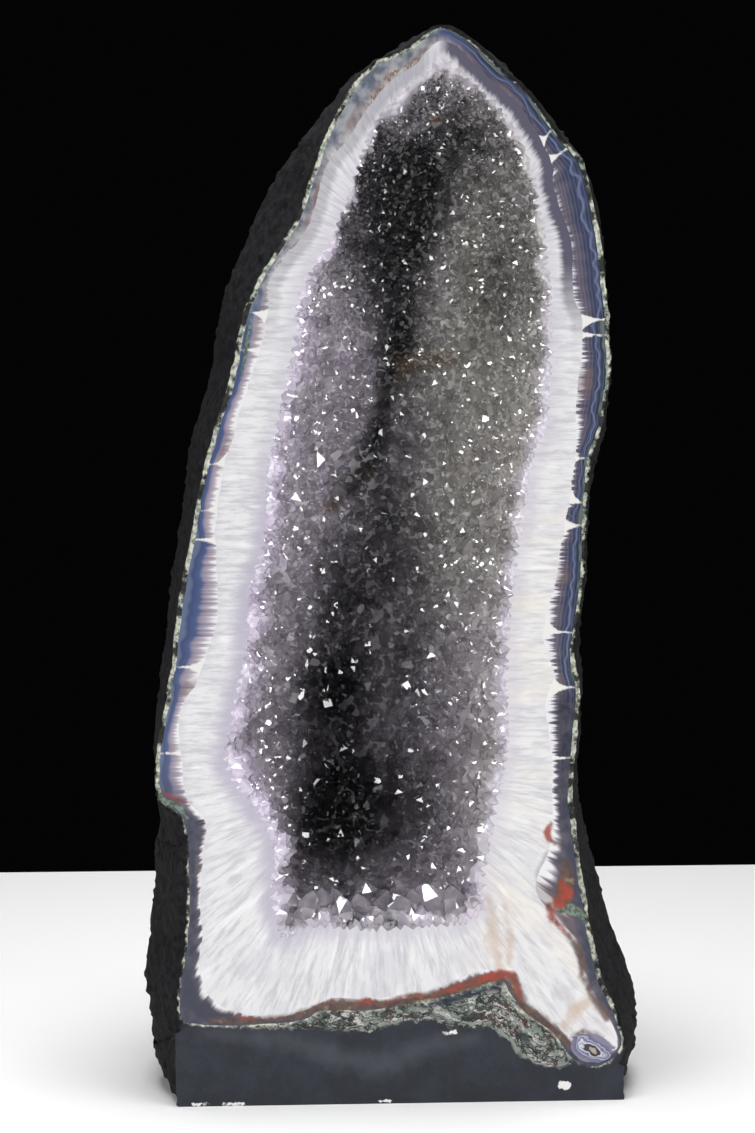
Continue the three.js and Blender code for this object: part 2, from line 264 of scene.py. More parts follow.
def toothed(loop, width, height, seed):
    """A loop with crystal points along it, of uneven width and height, turned inwards."""
    rng = np.random.default_rng(seed)
    along = np.cumsum(np.linalg.norm(loop - np.roll(loop, 1, axis=0), axis=1))
    bounds = [0.0]
    while bounds[-1] < along[-1] - width:
        bounds.append(bounds[-1] + width * rng.uniform(0.55, 1.6))
    bounds[-1] = along[-1]
    bounds = np.array(bounds)
    which = np.clip(np.searchsorted(bounds, along) - 1, 0, len(bounds) - 2)
    share = (along - bounds[which]) / (bounds[which + 1] - bounds[which])
    peak = rng.uniform(0.3, 0.7, len(bounds))[which]
    reach = rng.uniform(0.35, 1.0, len(bounds))[which] * height
    tooth = np.where(share < peak, share / peak, (1 - share) / (1 - peak)) * reach
    return loop - outward(loop) * tooth[:, None]


# ---------------------------------------------------------------- flat faces and bowls

SHARP_ANGLE = 60


class Skin:
    """Collects the points and triangles of one closed piece."""

    def __init__(self):
        self.points = []
        self.triangles = []
        self.count = 0

    def add(self, points, triangles, turned=False):
        triangles = np.asarray(triangles)
        self.points.append(np.asarray(points, float))
        self.triangles.append((triangles[:, ::-1] if turned else triangles) + self.count)
        self.count += len(points)

    def rows(self, rows, turned=False):
        """Joins closed rows of points, each to the next."""
        count = len(rows[0])
        here = np.arange(count)
        after = (here + 1) % count
        triangles = []
        for row in range(len(rows) - 1):
            a, b = here + row * count, after + row * count
            triangles.append(np.column_stack([a, b, b + count]))
            triangles.append(np.column_stack([a, b + count, a + count]))
        self.add(np.vstack(rows), np.vstack(triangles), turned)

    def piece(self, name):
        """The finished mesh object, with the points that meet made one."""
        points = np.vstack(self.points)
        first, same = merged(points, 1e-6)
        triangles = same[np.vstack(self.triangles)]
        proper = (triangles != np.roll(triangles, -1, axis=1)).all(1)
        made = mesh_object(name, points[first], triangles[proper])
        made.data.set_sharp_from_angle(angle=math.radians(SHARP_ANGLE))
        return made


def mesh_object(name, points, triangles, smooth=True):
    mesh = bpy.data.meshes.new(name)
    mesh.from_pydata([tuple(p) for p in points], [], [tuple(t) for t in triangles.tolist()])
    mesh.polygons.foreach_set("use_smooth", np.full(len(mesh.polygons), smooth))
    mesh.update()
    made = bpy.data.objects.new(name, mesh)
    bpy.context.scene.collection.objects.link(made)
    return made


def set_values(piece, **fields):
    """Keeps numbers for each point of a piece, by name, for its material to read."""
    for name, values in fields.items():
        attribute = piece.data.attributes.new(name, "FLOAT", "POINT")
        attribute.data.foreach_set("value", np.asarray(values, np.float32))


def read_off(table, at):
    """Values between the rows [place, value] of a table."""
    return np.interp(at, *np.array(table, float).T)


def vertex_values(mesh, name):
    values = np.empty(len(mesh.vertices) * 3)
    mesh.vertices.foreach_get(name, values)
    return values.reshape(-1, 3)


def points_of(piece):
    return vertex_values(piece.data, "co")


def flat_sheet(outer, inner, spacing):
    """Triangles that fill the face between an outer loop and an inner one, evenly."""
    loops = [outer] if inner is None else [outer, inner]

    def between(places):
        within = inside(outer, places)
        return within if inner is None else within & ~inside(inner, places)

    low, high = outer.min(0), outer.max(0)
    x = np.arange(low[0], high[0], spacing)
    z = np.arange(low[1], high[1], spacing * 0.866)
    grid = np.array([(px + (row % 2) * spacing / 2, pz) for row, pz in enumerate(z) for px in x])
    grid = grid + RNG.uniform(-0.18, 0.18, grid.shape) * spacing
    grid = grid[between(grid)]
    edge = np.min([distance_to(loop, grid, closed=True) for loop in loops], axis=0)
    grid = grid[edge > spacing * 0.55]
    edges, start = [], 0
    for loop in loops:
        edges += [(start + i, start + (i + 1) % len(loop)) for i in range(len(loop))]
        start += len(loop)
    corners = [Vector(p) for p in np.vstack(loops + [grid])]
    places, _, triangles, *_ = delaunay_2d_cdt(corners, edges, [], 0, 1e-6, False)
    places = np.array([tuple(p) for p in places])
    triangles = np.array(triangles)
    triangles = triangles[between(places[triangles].mean(1))]
    first, second, third = (places[triangles[:, i]] for i in range(3))
    turn = ((second - first) * (third - first)[:, ::-1] * [1, -1]).sum(1)
    triangles[turn < 0] = triangles[turn < 0][:, ::-1]
    return places, triangles


def narrowing(z):
    """How the bowls get shallower towards the tip."""
    share = held((z - 300) / 270)
    return 1 - 0.7 * share * share * (3 - 2 * share)


def bowl(skin, loop, depth, turned=False, count=4):
    """A plain bowl behind a loop of the face, closed along its keel."""
    middle = spine_point(loop)
    rows = [in_frame(loop)]
    for row in range(1, count + 1):
        turn = row / (count + 0.7) * math.pi / 2
        at = middle + (loop - middle) * math.cos(turn) ** 0.85
        rows.append(in_frame(at, depth * narrowing(at[:, 1]) * math.sin(turn) ** 0.9))
    skin.rows(rows, turned)
    keel = on_spine(np.linspace(0, 1, BOWL_KEEL_POINTS))
    keel = in_frame(keel, depth * narrowing(keel[:, 1]))
    close_keel(skin, loop, rows[-1], keel, turned)


def close_keel(skin, loop, last, keel, turned):
    """Joins a bowl's last row to the points of its keel."""
    nearest = np.round(share_up(loop) * (len(keel) - 1)).astype(int)
    triangles = []
    count = len(last)
    for i in range(count):
        after = (i + 1) % count
        k, end = nearest[i], nearest[after]
        triangles.append((i, after, count + k))
        while k != end:
            step = 1 if end > k else -1
            triangles.append((after, count + k + step, count + k))
            k += step
    skin.add(np.vstack([last, keel]), triangles, turned)


# ---------------------------------------------------------------- outlines of this stone

FINE = 0.9         # the step along the layers' edges, in mm
FACE_STEP = 1.6                      # the step across the quartz, in mm
STONE_STEP = 1.8                     # the step across the front of the basalt, in mm
STONE_ROWS = 96     # from the rim of the face to the middle of the back
STONE_KEEL_POINTS = 60
BOWL_KEEL_POINTS = 40
CAVITY_BOWL = 148                    # how deep the quartz is hollowed out, in mm
BED_STEP = 0.0025        # the step over the amethyst bed, in metres

agate_edge = wavered(smooth_loop(face_loops("agate_rim")[0], FINE), 9, 0.7, 1)
quartz_edge = wavered(smooth_loop(face_loops("quartz_band")[0], FINE), 12, 1.1, 2)
amethyst_edge = toothed(smooth_loop(face_loops("amethyst_lining")[0], FINE), 4.5, 4.5, 3)
stone_edge = smooth_loop(face_loops("basalt_matrix")[0], 2.0)


# ---------------------------------------------------------------- the basalt

def smoothed(values, rounds):
    """A field over closed rows, evened out along and across them; its first row stays."""
    for _ in range(rounds):
        values = (np.roll(values, 1, axis=1) + 2 * values + np.roll(values, -1, axis=1)) / 4
        values[1:-1] = (values[:-2] + 2 * values[1:-1] + values[2:]) / 4
    return values


def stone_rows(loop):
    """Rows of points over the back of the stone, from the rim of the face to the keel."""
    points, triangles = welded(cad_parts["basalt_matrix"].data)
    tree = BVHTree.FromPolygons(points.tolist(), triangles.tolist())
    middle = spine_point(loop)
    rim_reach = np.linalg.norm(loop - middle, axis=1)
    radial = (loop - middle) / rim_reach[:, None]
    turns = np.linspace(0, math.pi / 2, STONE_ROWS + 1)
    reach = np.tile(rim_reach, (STONE_ROWS + 1, 1))
    starts = in_frame(middle)
    for row, turn in enumerate(turns[1:], 1):
        ways = np.column_stack([
            radial[:, 0] * math.cos(turn), np.full(len(loop), math.sin(turn)),
            radial[:, 1] * math.cos(turn),
        ])
        for i, (start, way) in enumerate(zip(starts, ways)):
            hit = tree.ray_cast(Vector(start + way * 0.5), Vector(-way))[0]
            reach[row, i] = (hit - Vector(start)).length / MM if hit else reach[row - 1, i]
    reach[1:] = smoothed(reach, 14)[1:]
    rows = []
    for row, turn in enumerate(turns):
        at = middle + radial * (reach[row] * math.cos(turn))[:, None]
        at[:, 1] = np.maximum(at[:, 1], 0)
        rows.append(in_frame(at, reach[row] * math.sin(turn)))
    return rows


def roughened(rows):
    """The rows pushed in and out along their normals, as broken basalt is."""
    grid = np.array(rows)
    around = np.roll(grid, -1, axis=1) - np.roll(grid, 1, axis=1)
    normals = unit(np.cross(np.gradient(grid, axis=0), around)).reshape(-1, 3)
    points = grid.reshape(-1, 3)
    flat = points / MM
    soft = held((flat[:, 1] - FACE_Y / MM) / 6) * held(flat[:, 2] / 4)
    lumps = (1.1 * ripple(flat, 22, 11) + 0.9 * ripple(flat, 8, 12)
             + 0.75 * ripple(flat, 3.2, 13, 2))
    pits = held(ripple(flat, 5.0, 14, 2) - 0.35) * 2.6
    moved = points + normals * ((lumps - pits) * soft * MM)[:, None]
    moved[:, 2] = np.maximum(moved[:, 2], 0)
    return list(moved.reshape(grid.shape))


def make_basalt():
    gap = distance_to(agate_edge, stone_edge, closed=True)
    gap[inside(agate_edge, stone_edge)] *= -1
    rough = 0.7 * ripple(stone_edge, 4.5, 15, 2) + 0.5 * ripple(stone_edge, 14, 16)
    rough *= held(stone_edge[:, 1] / 6)
    crust = gap < 6
    rough[crust] += 2.3 - gap[crust]
    edge = stone_edge + outward(stone_edge) * (np.maximum(rough, 1.2 - gap))[:, None]
    edge[:, 1] = np.clip(edge[:, 1], 0, TOP_Z / MM)
    rows = stone_rows(edge)
    shares = np.linspace(0, 1, STONE_KEEL_POINTS)
    gaps = [np.abs(share_up(edge) - share) for share in shares]
    depths = np.array([rows[-1][gap <= gap.min() + 0.01][:, 1].mean() for gap in gaps])
    keel = in_frame(on_spine(shares), (depths - FACE_Y) / MM)
    rows = roughened(rows[:-1])
    skin = Skin()
    skin.rows(rows)
    close_keel(skin, edge, rows[-1], keel, False)
    skin.add(*as_face(flat_sheet(edge, agate_edge, STONE_STEP)))
    bowl(skin, agate_edge, depth_of("agate_rim"), turned=True)
    return skin.piece("basalt")


def as_face(sheet, back=0.0):
    places, triangles = sheet
    return in_frame(places, back), triangles


def depth_of(node):
    return (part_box(node)[1].y - FACE_Y) / MM


# ---------------------------------------------------------------- agate, quartz and nodule

def make_layer(name, outer, inner, spacing, outer_depth, inner_depth, inner_rows=4):
    """A ring of one mineral: flat in front, and between two bowls behind."""
    skin = Skin()
    skin.add(*as_face(flat_sheet(outer, inner, spacing)))
    bowl(skin, outer, outer_depth)
    bowl(skin, inner, inner_depth, turned=True, count=inner_rows)
    return skin.piece(name)


def make_agate():
    return make_layer("agate_rim_stone", agate_edge, quartz_edge, FINE,
                      depth_of("agate_rim"), depth_of("quartz_band"))


def make_quartz():
    return make_layer("quartz_band_stone", quartz_edge, amethyst_edge, FACE_STEP,
                      depth_of("quartz_band"), CAVITY_BOWL, inner_rows=6)


def make_nodule():
    loop = smooth_loop(face_loops("agate_nodule")[0], 0.5)
    loop = wavered(loop + outward(loop) * 0.6, 5, 0.5, 21)
    proud = -0.12
    rows = [in_frame(loop, proud)]
    for share, back in ((1.0, 1.0), (0.93, 3.5), (0.7, 6.5), (0.35, 8.0)):
        rows.append(in_frame(NODULE_CENTRE + (loop - NODULE_CENTRE) * share, back))
    skin = Skin()
    skin.rows(rows)
    skin.add(*as_face(flat_sheet(loop, None, 0.6), proud))
    end = np.vstack([rows[-1], in_frame([NODULE_CENTRE], 8.3)])
    count = len(loop)
    skin.add(end, [(i, (i + 1) % count, count) for i in range(count)])
    return skin.piece("agate_nodule_stone")


# ---------------------------------------------------------------- the amethyst

def make_bed():
    """The massed crystal that the points stand on, as one even skin."""
    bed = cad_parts["amethyst_lining"].copy()
    bed.data = bed.data.copy()
    bed.parent = None
    bed.name = "amethyst_bed"
    for key in list(bed.keys()):
        del bed[key]
    bpy.context.scene.collection.objects.link(bed)
    weld = bed.modifiers.new("weld", "WELD")
    weld.merge_threshold = 2e-6
    even = bed.modifiers.new("even", "REMESH")
    even.mode = "VOXEL"
    even.voxel_size = BED_STEP
    relax = bed.modifiers.new("relax", "SMOOTH")
    relax.iterations = 8
    relax.factor = 0.5
    bpy.context.view_layer.update()
    settled = bed.evaluated_get(bpy.context.evaluated_depsgraph_get())
    mesh = bpy.data.meshes.new_from_object(settled)
    bed.modifiers.clear()
    bed.data = mesh
    mesh.name = "amethyst_bed"
    mesh.materials.clear()
    places, depth = on_drawing(points_of(bed))
    near = held(1 - distance_to(amethyst_edge, places, closed=True) / 6) * held((6 - depth) / 3)
    depth = np.maximum(depth * (1 - 0.9 * near), 0.35)
    out = unit(places - spine_point(places))
    points = in_frame(places + out * (3 * near)[:, None], depth)
    mesh.vertices.foreach_set("co", points.ravel())
    mesh.update()
    return bed


MID_CAVITY = 55           # how far back the middle of the cavity is, in mm
POINT_TRIES = 90000       # how many places are tried for points, before they are thinned out


def cavity_sites(bed):
    """Places on the bed that look into the cavity, with the way that each one faces."""
    indices = triangles_of(bed.data)
    corners = points_of(bed)[indices]
    sides = np.cross(corners[:, 1] - corners[:, 0], corners[:, 2] - corners[:, 0])
    areas = np.linalg.norm(sides, axis=1) / 2
    normals = sides / np.maximum(areas * 2, 1e-18)[:, None]
    middles = corners.mean(1)
    places, depth = on_drawing(middles)
    towards = unit(in_frame(spine_point(places), MID_CAVITY) - middles)
    facing = ((normals * towards).sum(1) > 0.12) & (depth > 1.2)
    facing |= (normals[:, 1] < -0.35) & (depth > 2.5)
    chance = areas * facing
    picks = RNG.choice(len(areas), POINT_TRIES, p=chance / chance.sum())
    weights = RNG.dirichlet((1, 1, 1), len(picks))[:, :, None]
    at = (corners[picks] * weights).sum(1)
    ways = (vertex_values(bed.data, "normal")[indices[picks]] * weights).sum(1)
    return at, unit(ways)


# How wide the points are by height, [z, middle to corner], in mm
POINT_SIZES = [[90, 3.6], [150, 3.2], [220, 2.8], [320, 2.35], [430, 1.95], [550, 1.6]]
LARGE_SHARE, LARGE_SIZE = 0.04, 1.5        # some points are larger than those around them
BAND_HEIGHTS = [0, 0.2, 0.3, 0.4, 1.0]     # where one piece of points ends, in metres


def size_at(z):
    """How wide a point is, from its middle to its corner, in mm, at a height in metres."""
    return read_off(POINT_SIZES, z / MM)


def spread(at, crowding):
    """Thins places out so that points grow side by side: one to each small cell of space."""
    step = 1.55 * np.exp(np.round(np.log(size_at(at[:, 2])) * 8) / 8) * crowding * MM
    cells = np.floor(at / step[:, None]).astype(np.int64)
    keys = np.column_stack([np.round(step * 1e7).astype(np.int64), cells])
    return np.unique(keys, axis=0, return_index=True)[1]


CORNERS = 16              # of one crystal point


def crystal_shapes(at, ways, sizes, rng, lean=0.42, stem=1.3, lift=0.0):
    """Closed six-sided points with three large and three small end faces.

    The corners of one point are its top, three where a small face meets the large ones, six
    around its shoulder and six around its root.
    """
    count = len(at)
    ways = unit(ways + rng.normal(0, lean, (count, 3)))
    side = unit(np.cross(ways, rng.normal(size=(count, 3))))
    across = np.cross(ways, side)
    inner = math.cos(math.pi / 6)
    slope = rng.uniform(1.05, 1.45, count)
    reach = 2 * rng.uniform(0.05, 0.3, count)
    corner_turns = np.arange(6) * math.pi / 3
    ring = np.column_stack([np.cos(corner_turns), np.sin(corner_turns)])
    shapes = np.zeros((count, CORNERS, 3))
    shapes[:, 0, 2] = slope * inner
    for k in range(3):
        turn = (2 * k + 1.5) * math.pi / 3
        shapes[:, 1 + k] = np.column_stack([
            reach * math.cos(turn), reach * math.sin(turn), slope * (inner - reach / 2),
        ])
    uneven = rng.uniform(0.82, 1.18, (count, 6))[:, :, None]
    shapes[:, 4:10, :2] = ring * uneven
    shapes[:, 10:16, :2] = ring * 0.9 * uneven
    shapes[:, :10, 2] += np.broadcast_to(lift, count)[:, None]
    shapes[:, 10:16, 2] = -stem
    shapes *= sizes[:, None, None]
    points = (shapes[:, :, 0, None] * side[:, None] + shapes[:, :, 1, None] * across[:, None]
              + shapes[:, :, 2, None] * ways[:, None]) * MM + at[:, None]
    triangles = crystal_faces()[None] + np.arange(count)[:, None, None] * CORNERS
    return points.reshape(-1, 3), triangles.reshape(-1, 3)


def crystal_faces():
    """The triangles of one point: an end of six faces, six sides and a flat root."""
    faces = [(10, 12, 11), (10, 13, 12), (10, 14, 13), (10, 15, 14)]
    for k in range(3):
        first, second, third = (4 + (2 * k + turn) % 6 for turn in (1, 2, 3))
        after = 1 + (k + 1) % 3
        faces += [(1 + k, first, second), (0, 1 + k, after), (1 + k, second, after),
                  (second, third, after)]
    for k in range(6):
        a, b = 4 + k, 4 + (k + 1) % 6
        faces += [(a, a + 6, b + 6), (a, b + 6, b)]
    return np.array(faces)


def crystal_piece(name, at, ways, sizes, rng, **how):
    points, triangles = crystal_shapes(at, ways, sizes, rng, **how)
    points[:, 1] = np.maximum(points[:, 1], FACE_Y + 0.25 * MM)
    made = mesh_object(name, points, triangles, smooth=False)
    set_values(made, own=np.repeat(rng.uniform(0, 1, len(at)), CORNERS))
    return made


def make_points(bed):
    """The points that line the cavity, in bands from the floor to the tip."""
    at, ways = cavity_sites(bed)
    chosen = spread(at, 1.0)
    at, ways = at[chosen], ways[chosen]
    rng = np.random.default_rng(31)
    sizes = size_at(at[:, 2]) * rng.lognormal(0, 0.22, len(at))
    sizes[rng.uniform(size=len(at)) < LARGE_SHARE] *= LARGE_SIZE
    made = []
    for band, (low, high) in enumerate(zip(BAND_HEIGHTS, BAND_HEIGHTS[1:]), 1):
        here = (at[:, 2] >= low) & (at[:, 2] < high)
        made.append(crystal_piece(
            f"amethyst_points_{band}", at[here], ways[here], sizes[here], rng,
        ))
    return made


# The largest crystals on the cavity's floor: [x, how far back, radius, height], in mm
FLOOR_CRYSTALS = [
    [-52, 6, 4.5, 8], [-45, 9, 7.5, 13], [-37, 14, 6.5, 12], [-27, 8, 8.0, 12], [-17, 11, 7.5, 12],
    [-8, 15, 5.0, 8], [3, 8, 8.0, 13], [12, 13, 6.5, 13], [23, 10, 8.5, 19], [32, 9, 7.0, 14],
    [41, 11, 5.5, 10], [-31, 22, 7.0, 11], [-4, 26, 7.0, 10], [15, 26, 7.5, 11], [31, 27, 6.5, 10],
    [-18, 30, 7.0, 9], [-40, 32, 6.0, 8], [4, 40, 6.0, 8], [-12, 44, 6.0, 8],
]


def make_floor_crystals(bed):
    """The largest crystals, standing along the front of the cavity's floor."""
    tree = BVHTree.FromObject(bed, bpy.context.evaluated_depsgraph_get())
    x, back, radius, height = np.array(FLOOR_CRYSTALS, float).T
    above = in_frame(np.column_stack([x, np.full(len(x), 150)]), back)
    at = np.array([tree.ray_cast(Vector(start), Vector((0, 0, -1)))[0] for start in above])
    return crystal_piece(
        "amethyst_floor_crystals", at, np.tile([0.0, -0.1, 1.0], (len(at), 1)), radius,
        np.random.default_rng(44), lean=0.2, stem=0.9, lift=height / radius - 1.05,
    )


pieces = {
    "basalt": make_basalt(),
    "agate": make_agate(),
    "quartz": make_quartz(),
    "nodule": make_nodule(),
    "bed": make_bed(),
}
points_pieces = make_points(pieces["bed"])
floor_crystals = make_floor_crystals(pieces["bed"])


# ---------------------------------------------------------------- marks on the cut face

# Cracks across the agate, filled with white quartz: [x, z, how wide they open]
CRACKS = [
    [-73, 414, 3], [-74, 395, 2.5], [-88, 336, 5], [-99, 312, 2.5], [-101, 297, 4.5],
    [-111, 231, 4.5], [-120, 186, 2.5], [78, 505, 1.5], [84, 495, 2], [106, 411, 3.2],
    [106, 403, 1.2], [99, 339, 3.5], [97, 316, 3.5], [96, 304, 3.5], [91, 248, 6], [92, 219, 5],
    [91, 182, 1.4],
]

CRACK_REACH = 30       # how far in a crack can go, in mm

# Strokes of colour: paths of [x, z, half width]
RED = [
    [[-121, 165.5, 0.4], [-113, 161.5, 1.3], [-106, 160, 0.3]],
    [[87, 118, 1.0], [90, 110, 4.2], [86, 105, 3.2]],
    [[81, 104, 1.6], [83, 97, 2.0], [88, 92, 1.2], [92, 87, 0.6]],
    [[84, 137, 0.6], [81, 139.5, 1.6], [80, 143, 2.0], [82, 147.5, 1.0]],
    [[-84, 47.5, 0.1], [-78, 46.5, 0.6], [-72, 46, 0.1]],
    [[-39, 53, 0.1], [-34, 55, 0.4], [-30, 55, 0.1]],
    [[-20, 53.5, 0.6], [-15, 55, 1.4], [-9, 53.5, 0.4]],
    [[-7, 53, 0.1], [3, 56.5, 0.9], [12, 57.5, 1.2], [17, 57, 0.5]],
    [[20, 57, 0.6], [32, 61, 1.7], [45, 65, 1.9], [56, 68, 2.4], [62, 67.5, 2.0], [65, 61, 1.6],
     [66, 54, 0.8]],
]
INK = [
    [[-109, 68, 3.0], [-106, 56, 5.5], [-98, 49, 4.2], [-84, 46, 1.4]],
    [[88, 143.5, 0.4], [91, 144, 0.8], [90, 147, 0.3]],
    [[93, 132, 2.0], [94, 122, 3.0], [95, 112, 2.0]],
    [[20, 52, 1.4], [40, 58, 1.8], [56, 62, 1.6]],
    [[101, 85, 1.2], [104, 70, 1.6], [103, 60, 1.0]],
]
BROWN = [
    [[90, 126, 2.5], [91, 116, 4.5], [88, 108, 4.0]],
    [[92, 88, 1.4], [98, 78, 1.6], [99, 66, 1.4], [105, 54, 1.6], [112, 44, 2.0]],
    [[-98, 46, 1.0], [-74, 45, 1.4], [-55, 46.5, 1.6], [-39, 51.5, 1.8], [-22, 52.5, 2.4],
     [-3, 53, 2.0], [9, 55, 2.2], [23, 58, 2.4], [44, 64, 2.4], [56, 67, 2.6]],
    [[92, 33, 0.5], [100, 37, 1.4], [110, 34, 0.5]],
    [[61, 66, 3.2], [64, 60, 2.8], [68, 51, 2.4], [80, 42, 2.4], [92, 31, 2.0]],
]
GREEN = [
    [[84, 101, 0.6], [93, 102, 3.0], [100, 98, 1.8]],
    [[-123, 163, 1.2], [-112, 157, 1.6], [-108, 152, 0.6]],
    [[-80, 379, 0.3], [-77, 396, 1.2], [-74, 412, 0.3]],
]
STAIN = [
    [[49, 108, 2.0], [52, 88, 3.5], [56, 68, 1.5]],
    [[58, 104, 1.0], [61, 88, 2.0], [60, 72, 1.0]],
    [[112, 62, 1.5], [96, 48, 3.0], [88, 38, 2.0]],
]
HALO = [
    [[99, 27, 8.5], [108, 25, 8.0], [114, 24, 5.0]],
    [[85, 146, 1.2], [90, 149, 1.8], [94, 145, 2.2], [91, 141, 1.6], [86, 141, 1.0]],
]
BUBBLE = [
    [[81, 130, 3.0], [79, 120, 5.5], [81, 113, 3.0]],
]
SMUDGE = [
    [[-100, 39, 1.5], [-55, 34, 3.5], [-29, 25, 5], [-8, 20, 5.5], [5, 25, 4], [22, 31, 3],
     [42, 34, 2]],
]
CHIPS = [
    [[88.5, 8.5, 2.2], [91, 8, 2.2]],
    [[-106, 1.2, 0.7], [-98, 1.0, 0.9]],
    [[-90, 0.8, 0.8], [-80, 1.2, 0.9]],
    [[-8, 1.5, 0.5], [-2, 1.2, 0.7]],
    [[24, 36.5, 0.7], [32, 37.5, 1.0]],
]

# The mixed broken stone under the agate, as corners of its outline
BRECCIA = np.array([
    [-112, 52], [-112, 44.6], [-100, 43.2], [-80, 41.5], [-63, 40.5], [-42, 40.5], [-13, 38],
    [3, 43.5], [20, 45], [28, 40], [50, 40], [58, 34], [66, 25], [77, 19], [87, 17.5], [94, 20],
    [90, 40], [60, 72], [0, 60], [-60, 52],
])

# Where the cavity is painted darker (painted shade in its hollows, over crystal that is partly
# smoky), warmer or paler: [x, z, reach across, reach up, how much]
SHADE_AND_SMOKE_SPOTS = [
    [12, 475, 20, 40, 1.0], [10, 482, 18, 26, 0.7], [-4, 448, 24, 34, 0.6], [8, 410, 16, 34, 0.7],
    [-4, 335, 22, 36, 0.5], [-20, 265, 26, 40, 0.6], [-26, 205, 27, 40, 0.9],
    [-24, 138, 37, 42, 1.0], [8, 290, 26, 50, 0.5], [20, 220, 22, 50, 0.45],
    [20, 140, 24, 40, 0.45], [38, 508, 30, 30, 0.65], [62, 440, 22, 60, 0.5],
    [12, 375, 24, 40, 0.25], [-14, 488, 16, 24, 0.6], [-26, 460, 14, 30, 0.45],
    [-2, 92, 60, 8, 0.7], [-9, 512, 16, 16, 0.45],
]
# A painted shadow below a ledge of crystal, down the middle of the cavity
LEDGE_SHADOW = [
    [[12, 420, 2], [9, 400, 4], [3, 372, 4], [-4, 346, 4], [-14, 327, 4], [-30, 312, 2]],
]
WARM = [
    [52, 420, 34, 120, 1.0], [20, 390, 16, 16, 0.8], [40, 300, 30, 70, 0.8], [56, 150, 20, 70, 0.7],
    [76, 350, 18, 130, 0.8],
]
PALE = [
    [-70, 175, 26, 80, 1.0], [-62, 310, 22, 90, 0.9], [-52, 410, 16, 50, 0.5],
    [-2, 520, 12, 14, 0.25],
]
RUSTY = [
    [30, 393, 15, 6, 0.8], [12, 388, 6, 9, 0.7], [-28, 311, 7, 5, 0.8], [-8, 330, 5, 5, 0.5],
    [22, 516, 5, 5, 0.6],
]
HOOD_EDGE = [[-14, 511], [-8, 510], [8, 505], [18, 512], [23, 519], [27, 530]]


def spots_at(spots, places):
    """How strongly some soft round spots show at each place, from 0 to 1."""
    clear = np.ones(len(places))
    for x, z, across, up, much in spots:
        far = ((places[:, 0] - x) / across) ** 2 + ((places[:, 1] - z) / up) ** 2
        clear *= 1 - much * np.exp(-far)
    return 1 - clear


def under_hood(places):
    """1 below the lower edge of the crystals that hang at the top, and 0 on them."""
    x, z = places.T
    within = (x > HOOD_EDGE[0][0]) & (x < HOOD_EDGE[-1][0])
    return np.where(within, held((read_off(HOOD_EDGE, x) - z) / 3 + 0.5), 1)


# How wide the pale crust is around the agate, by height: [z, width], in mm
CRUST_LEFT = [[44, 0.8], [60, 1.0], [150, 0.8], [190, 2.6], [300, 3.4], [400, 3.6], [450, 1.6],
              [500, 2.4], [540, 1.6]]
CRUST_RIGHT = [[44, 1.0], [60, 3.0], [130, 4.0], [225, 4.0], [245, 1.4], [380, 1.6], [440, 3.0],
               [490, 3.4], [505, 0.6], [540, 0.4]]


RIM_DEPTH = 12         # how far behind the face the marks of a rim can reach, in mm


def mark_face(piece):
    """Keeps what all the layers' materials need to know. Returns its places and depths."""
    places, depth = on_drawing(points_of(piece))
    attribute = piece.data.attributes.new("rim_way", "FLOAT_VECTOR", "POINT")
    attribute.data.foreach_set("vector", rim_way(places).astype(np.float32).ravel())
    for name, strokes in (("red", RED), ("brown", BROWN), ("green", GREEN), ("ink", INK)):
        set_values(piece, **{name: strokes_at(strokes, places) - 0.8 * np.maximum(depth, 0)})
    return places, depth


def where(wanted, places, values_at, otherwise=OUTSIDE):
    """Values worked out only at the places wanted, and one value at all the others."""
    values = np.full(len(places), otherwise)
    values[wanted] = values_at(places[wanted])
    return values


def to_right(places):
    """0 to the left of the middle line and 1 to its right, with a soft step 10 mm wide."""
    return held((places[:, 0] - spine_point(places)[:, 0]) / 10)


def block_shifts(places):
    """How much further in the blue reaches between one pair of cracks than the next."""
    rng = np.random.default_rng(57)
    on_right = on_right_side(places)
    shifts = np.zeros(len(places))
    for side in (False, True):
        heights = np.sort([z for x, z, _ in CRACKS if (x > 0) == side])
        here = on_right == side
        between = rng.uniform(-0.15, 0.15, len(heights) + 1)
        shifts[here] = between[np.searchsorted(heights, places[here, 1])]
    return shifts


def crack_depths(places, share):
    """How deep inside a crack each place is, in mm. The cracks widen inwards, unevenly."""
    rng = np.random.default_rng(12)
    depth = np.full(len(places), OUTSIDE)
    for x, z, width in CRACKS:
        start = np.array([[x, z]], float)
        way = unit(spine_point(start) - start)[0]
        side = (places - start) @ np.array([-way[1], way[0]])
        opening = width * np.where(side > 0, rng.uniform(0.1, 1.8), rng.uniform(0.1, 1.8))
        within = 0.3 + opening * share ** rng.uniform(1.5, 3.5) - np.abs(side)
        near = np.linalg.norm(places - start, axis=1) < CRACK_REACH
        depth = np.maximum(depth, np.where(near, within, OUTSIDE))
    return depth


def mark_agate(piece):
    places, _ = mark_face(piece)
    x, z = places.T
    across = distance_to(agate_edge, places, closed=True)
    inner = distance_to(quartz_edge, places, closed=True)
    share = across / np.maximum(across + inner, 1e-6)
    tip = held((z - 395) / 35) * to_right(places)
    set_values(
        piece, flare=crack_depths(places, share), block=block_shifts(places), across=across,
        share=share * (1 - 0.32 * tip), right=held((x - 20) / 20) * held((z - 120) / 60),
        low=held(np.where(x > 0, (225 - z) / 15, (180 - z) / 30)),
        high=held((z - 405) / 30) * held((25 - x) / 4),
    )


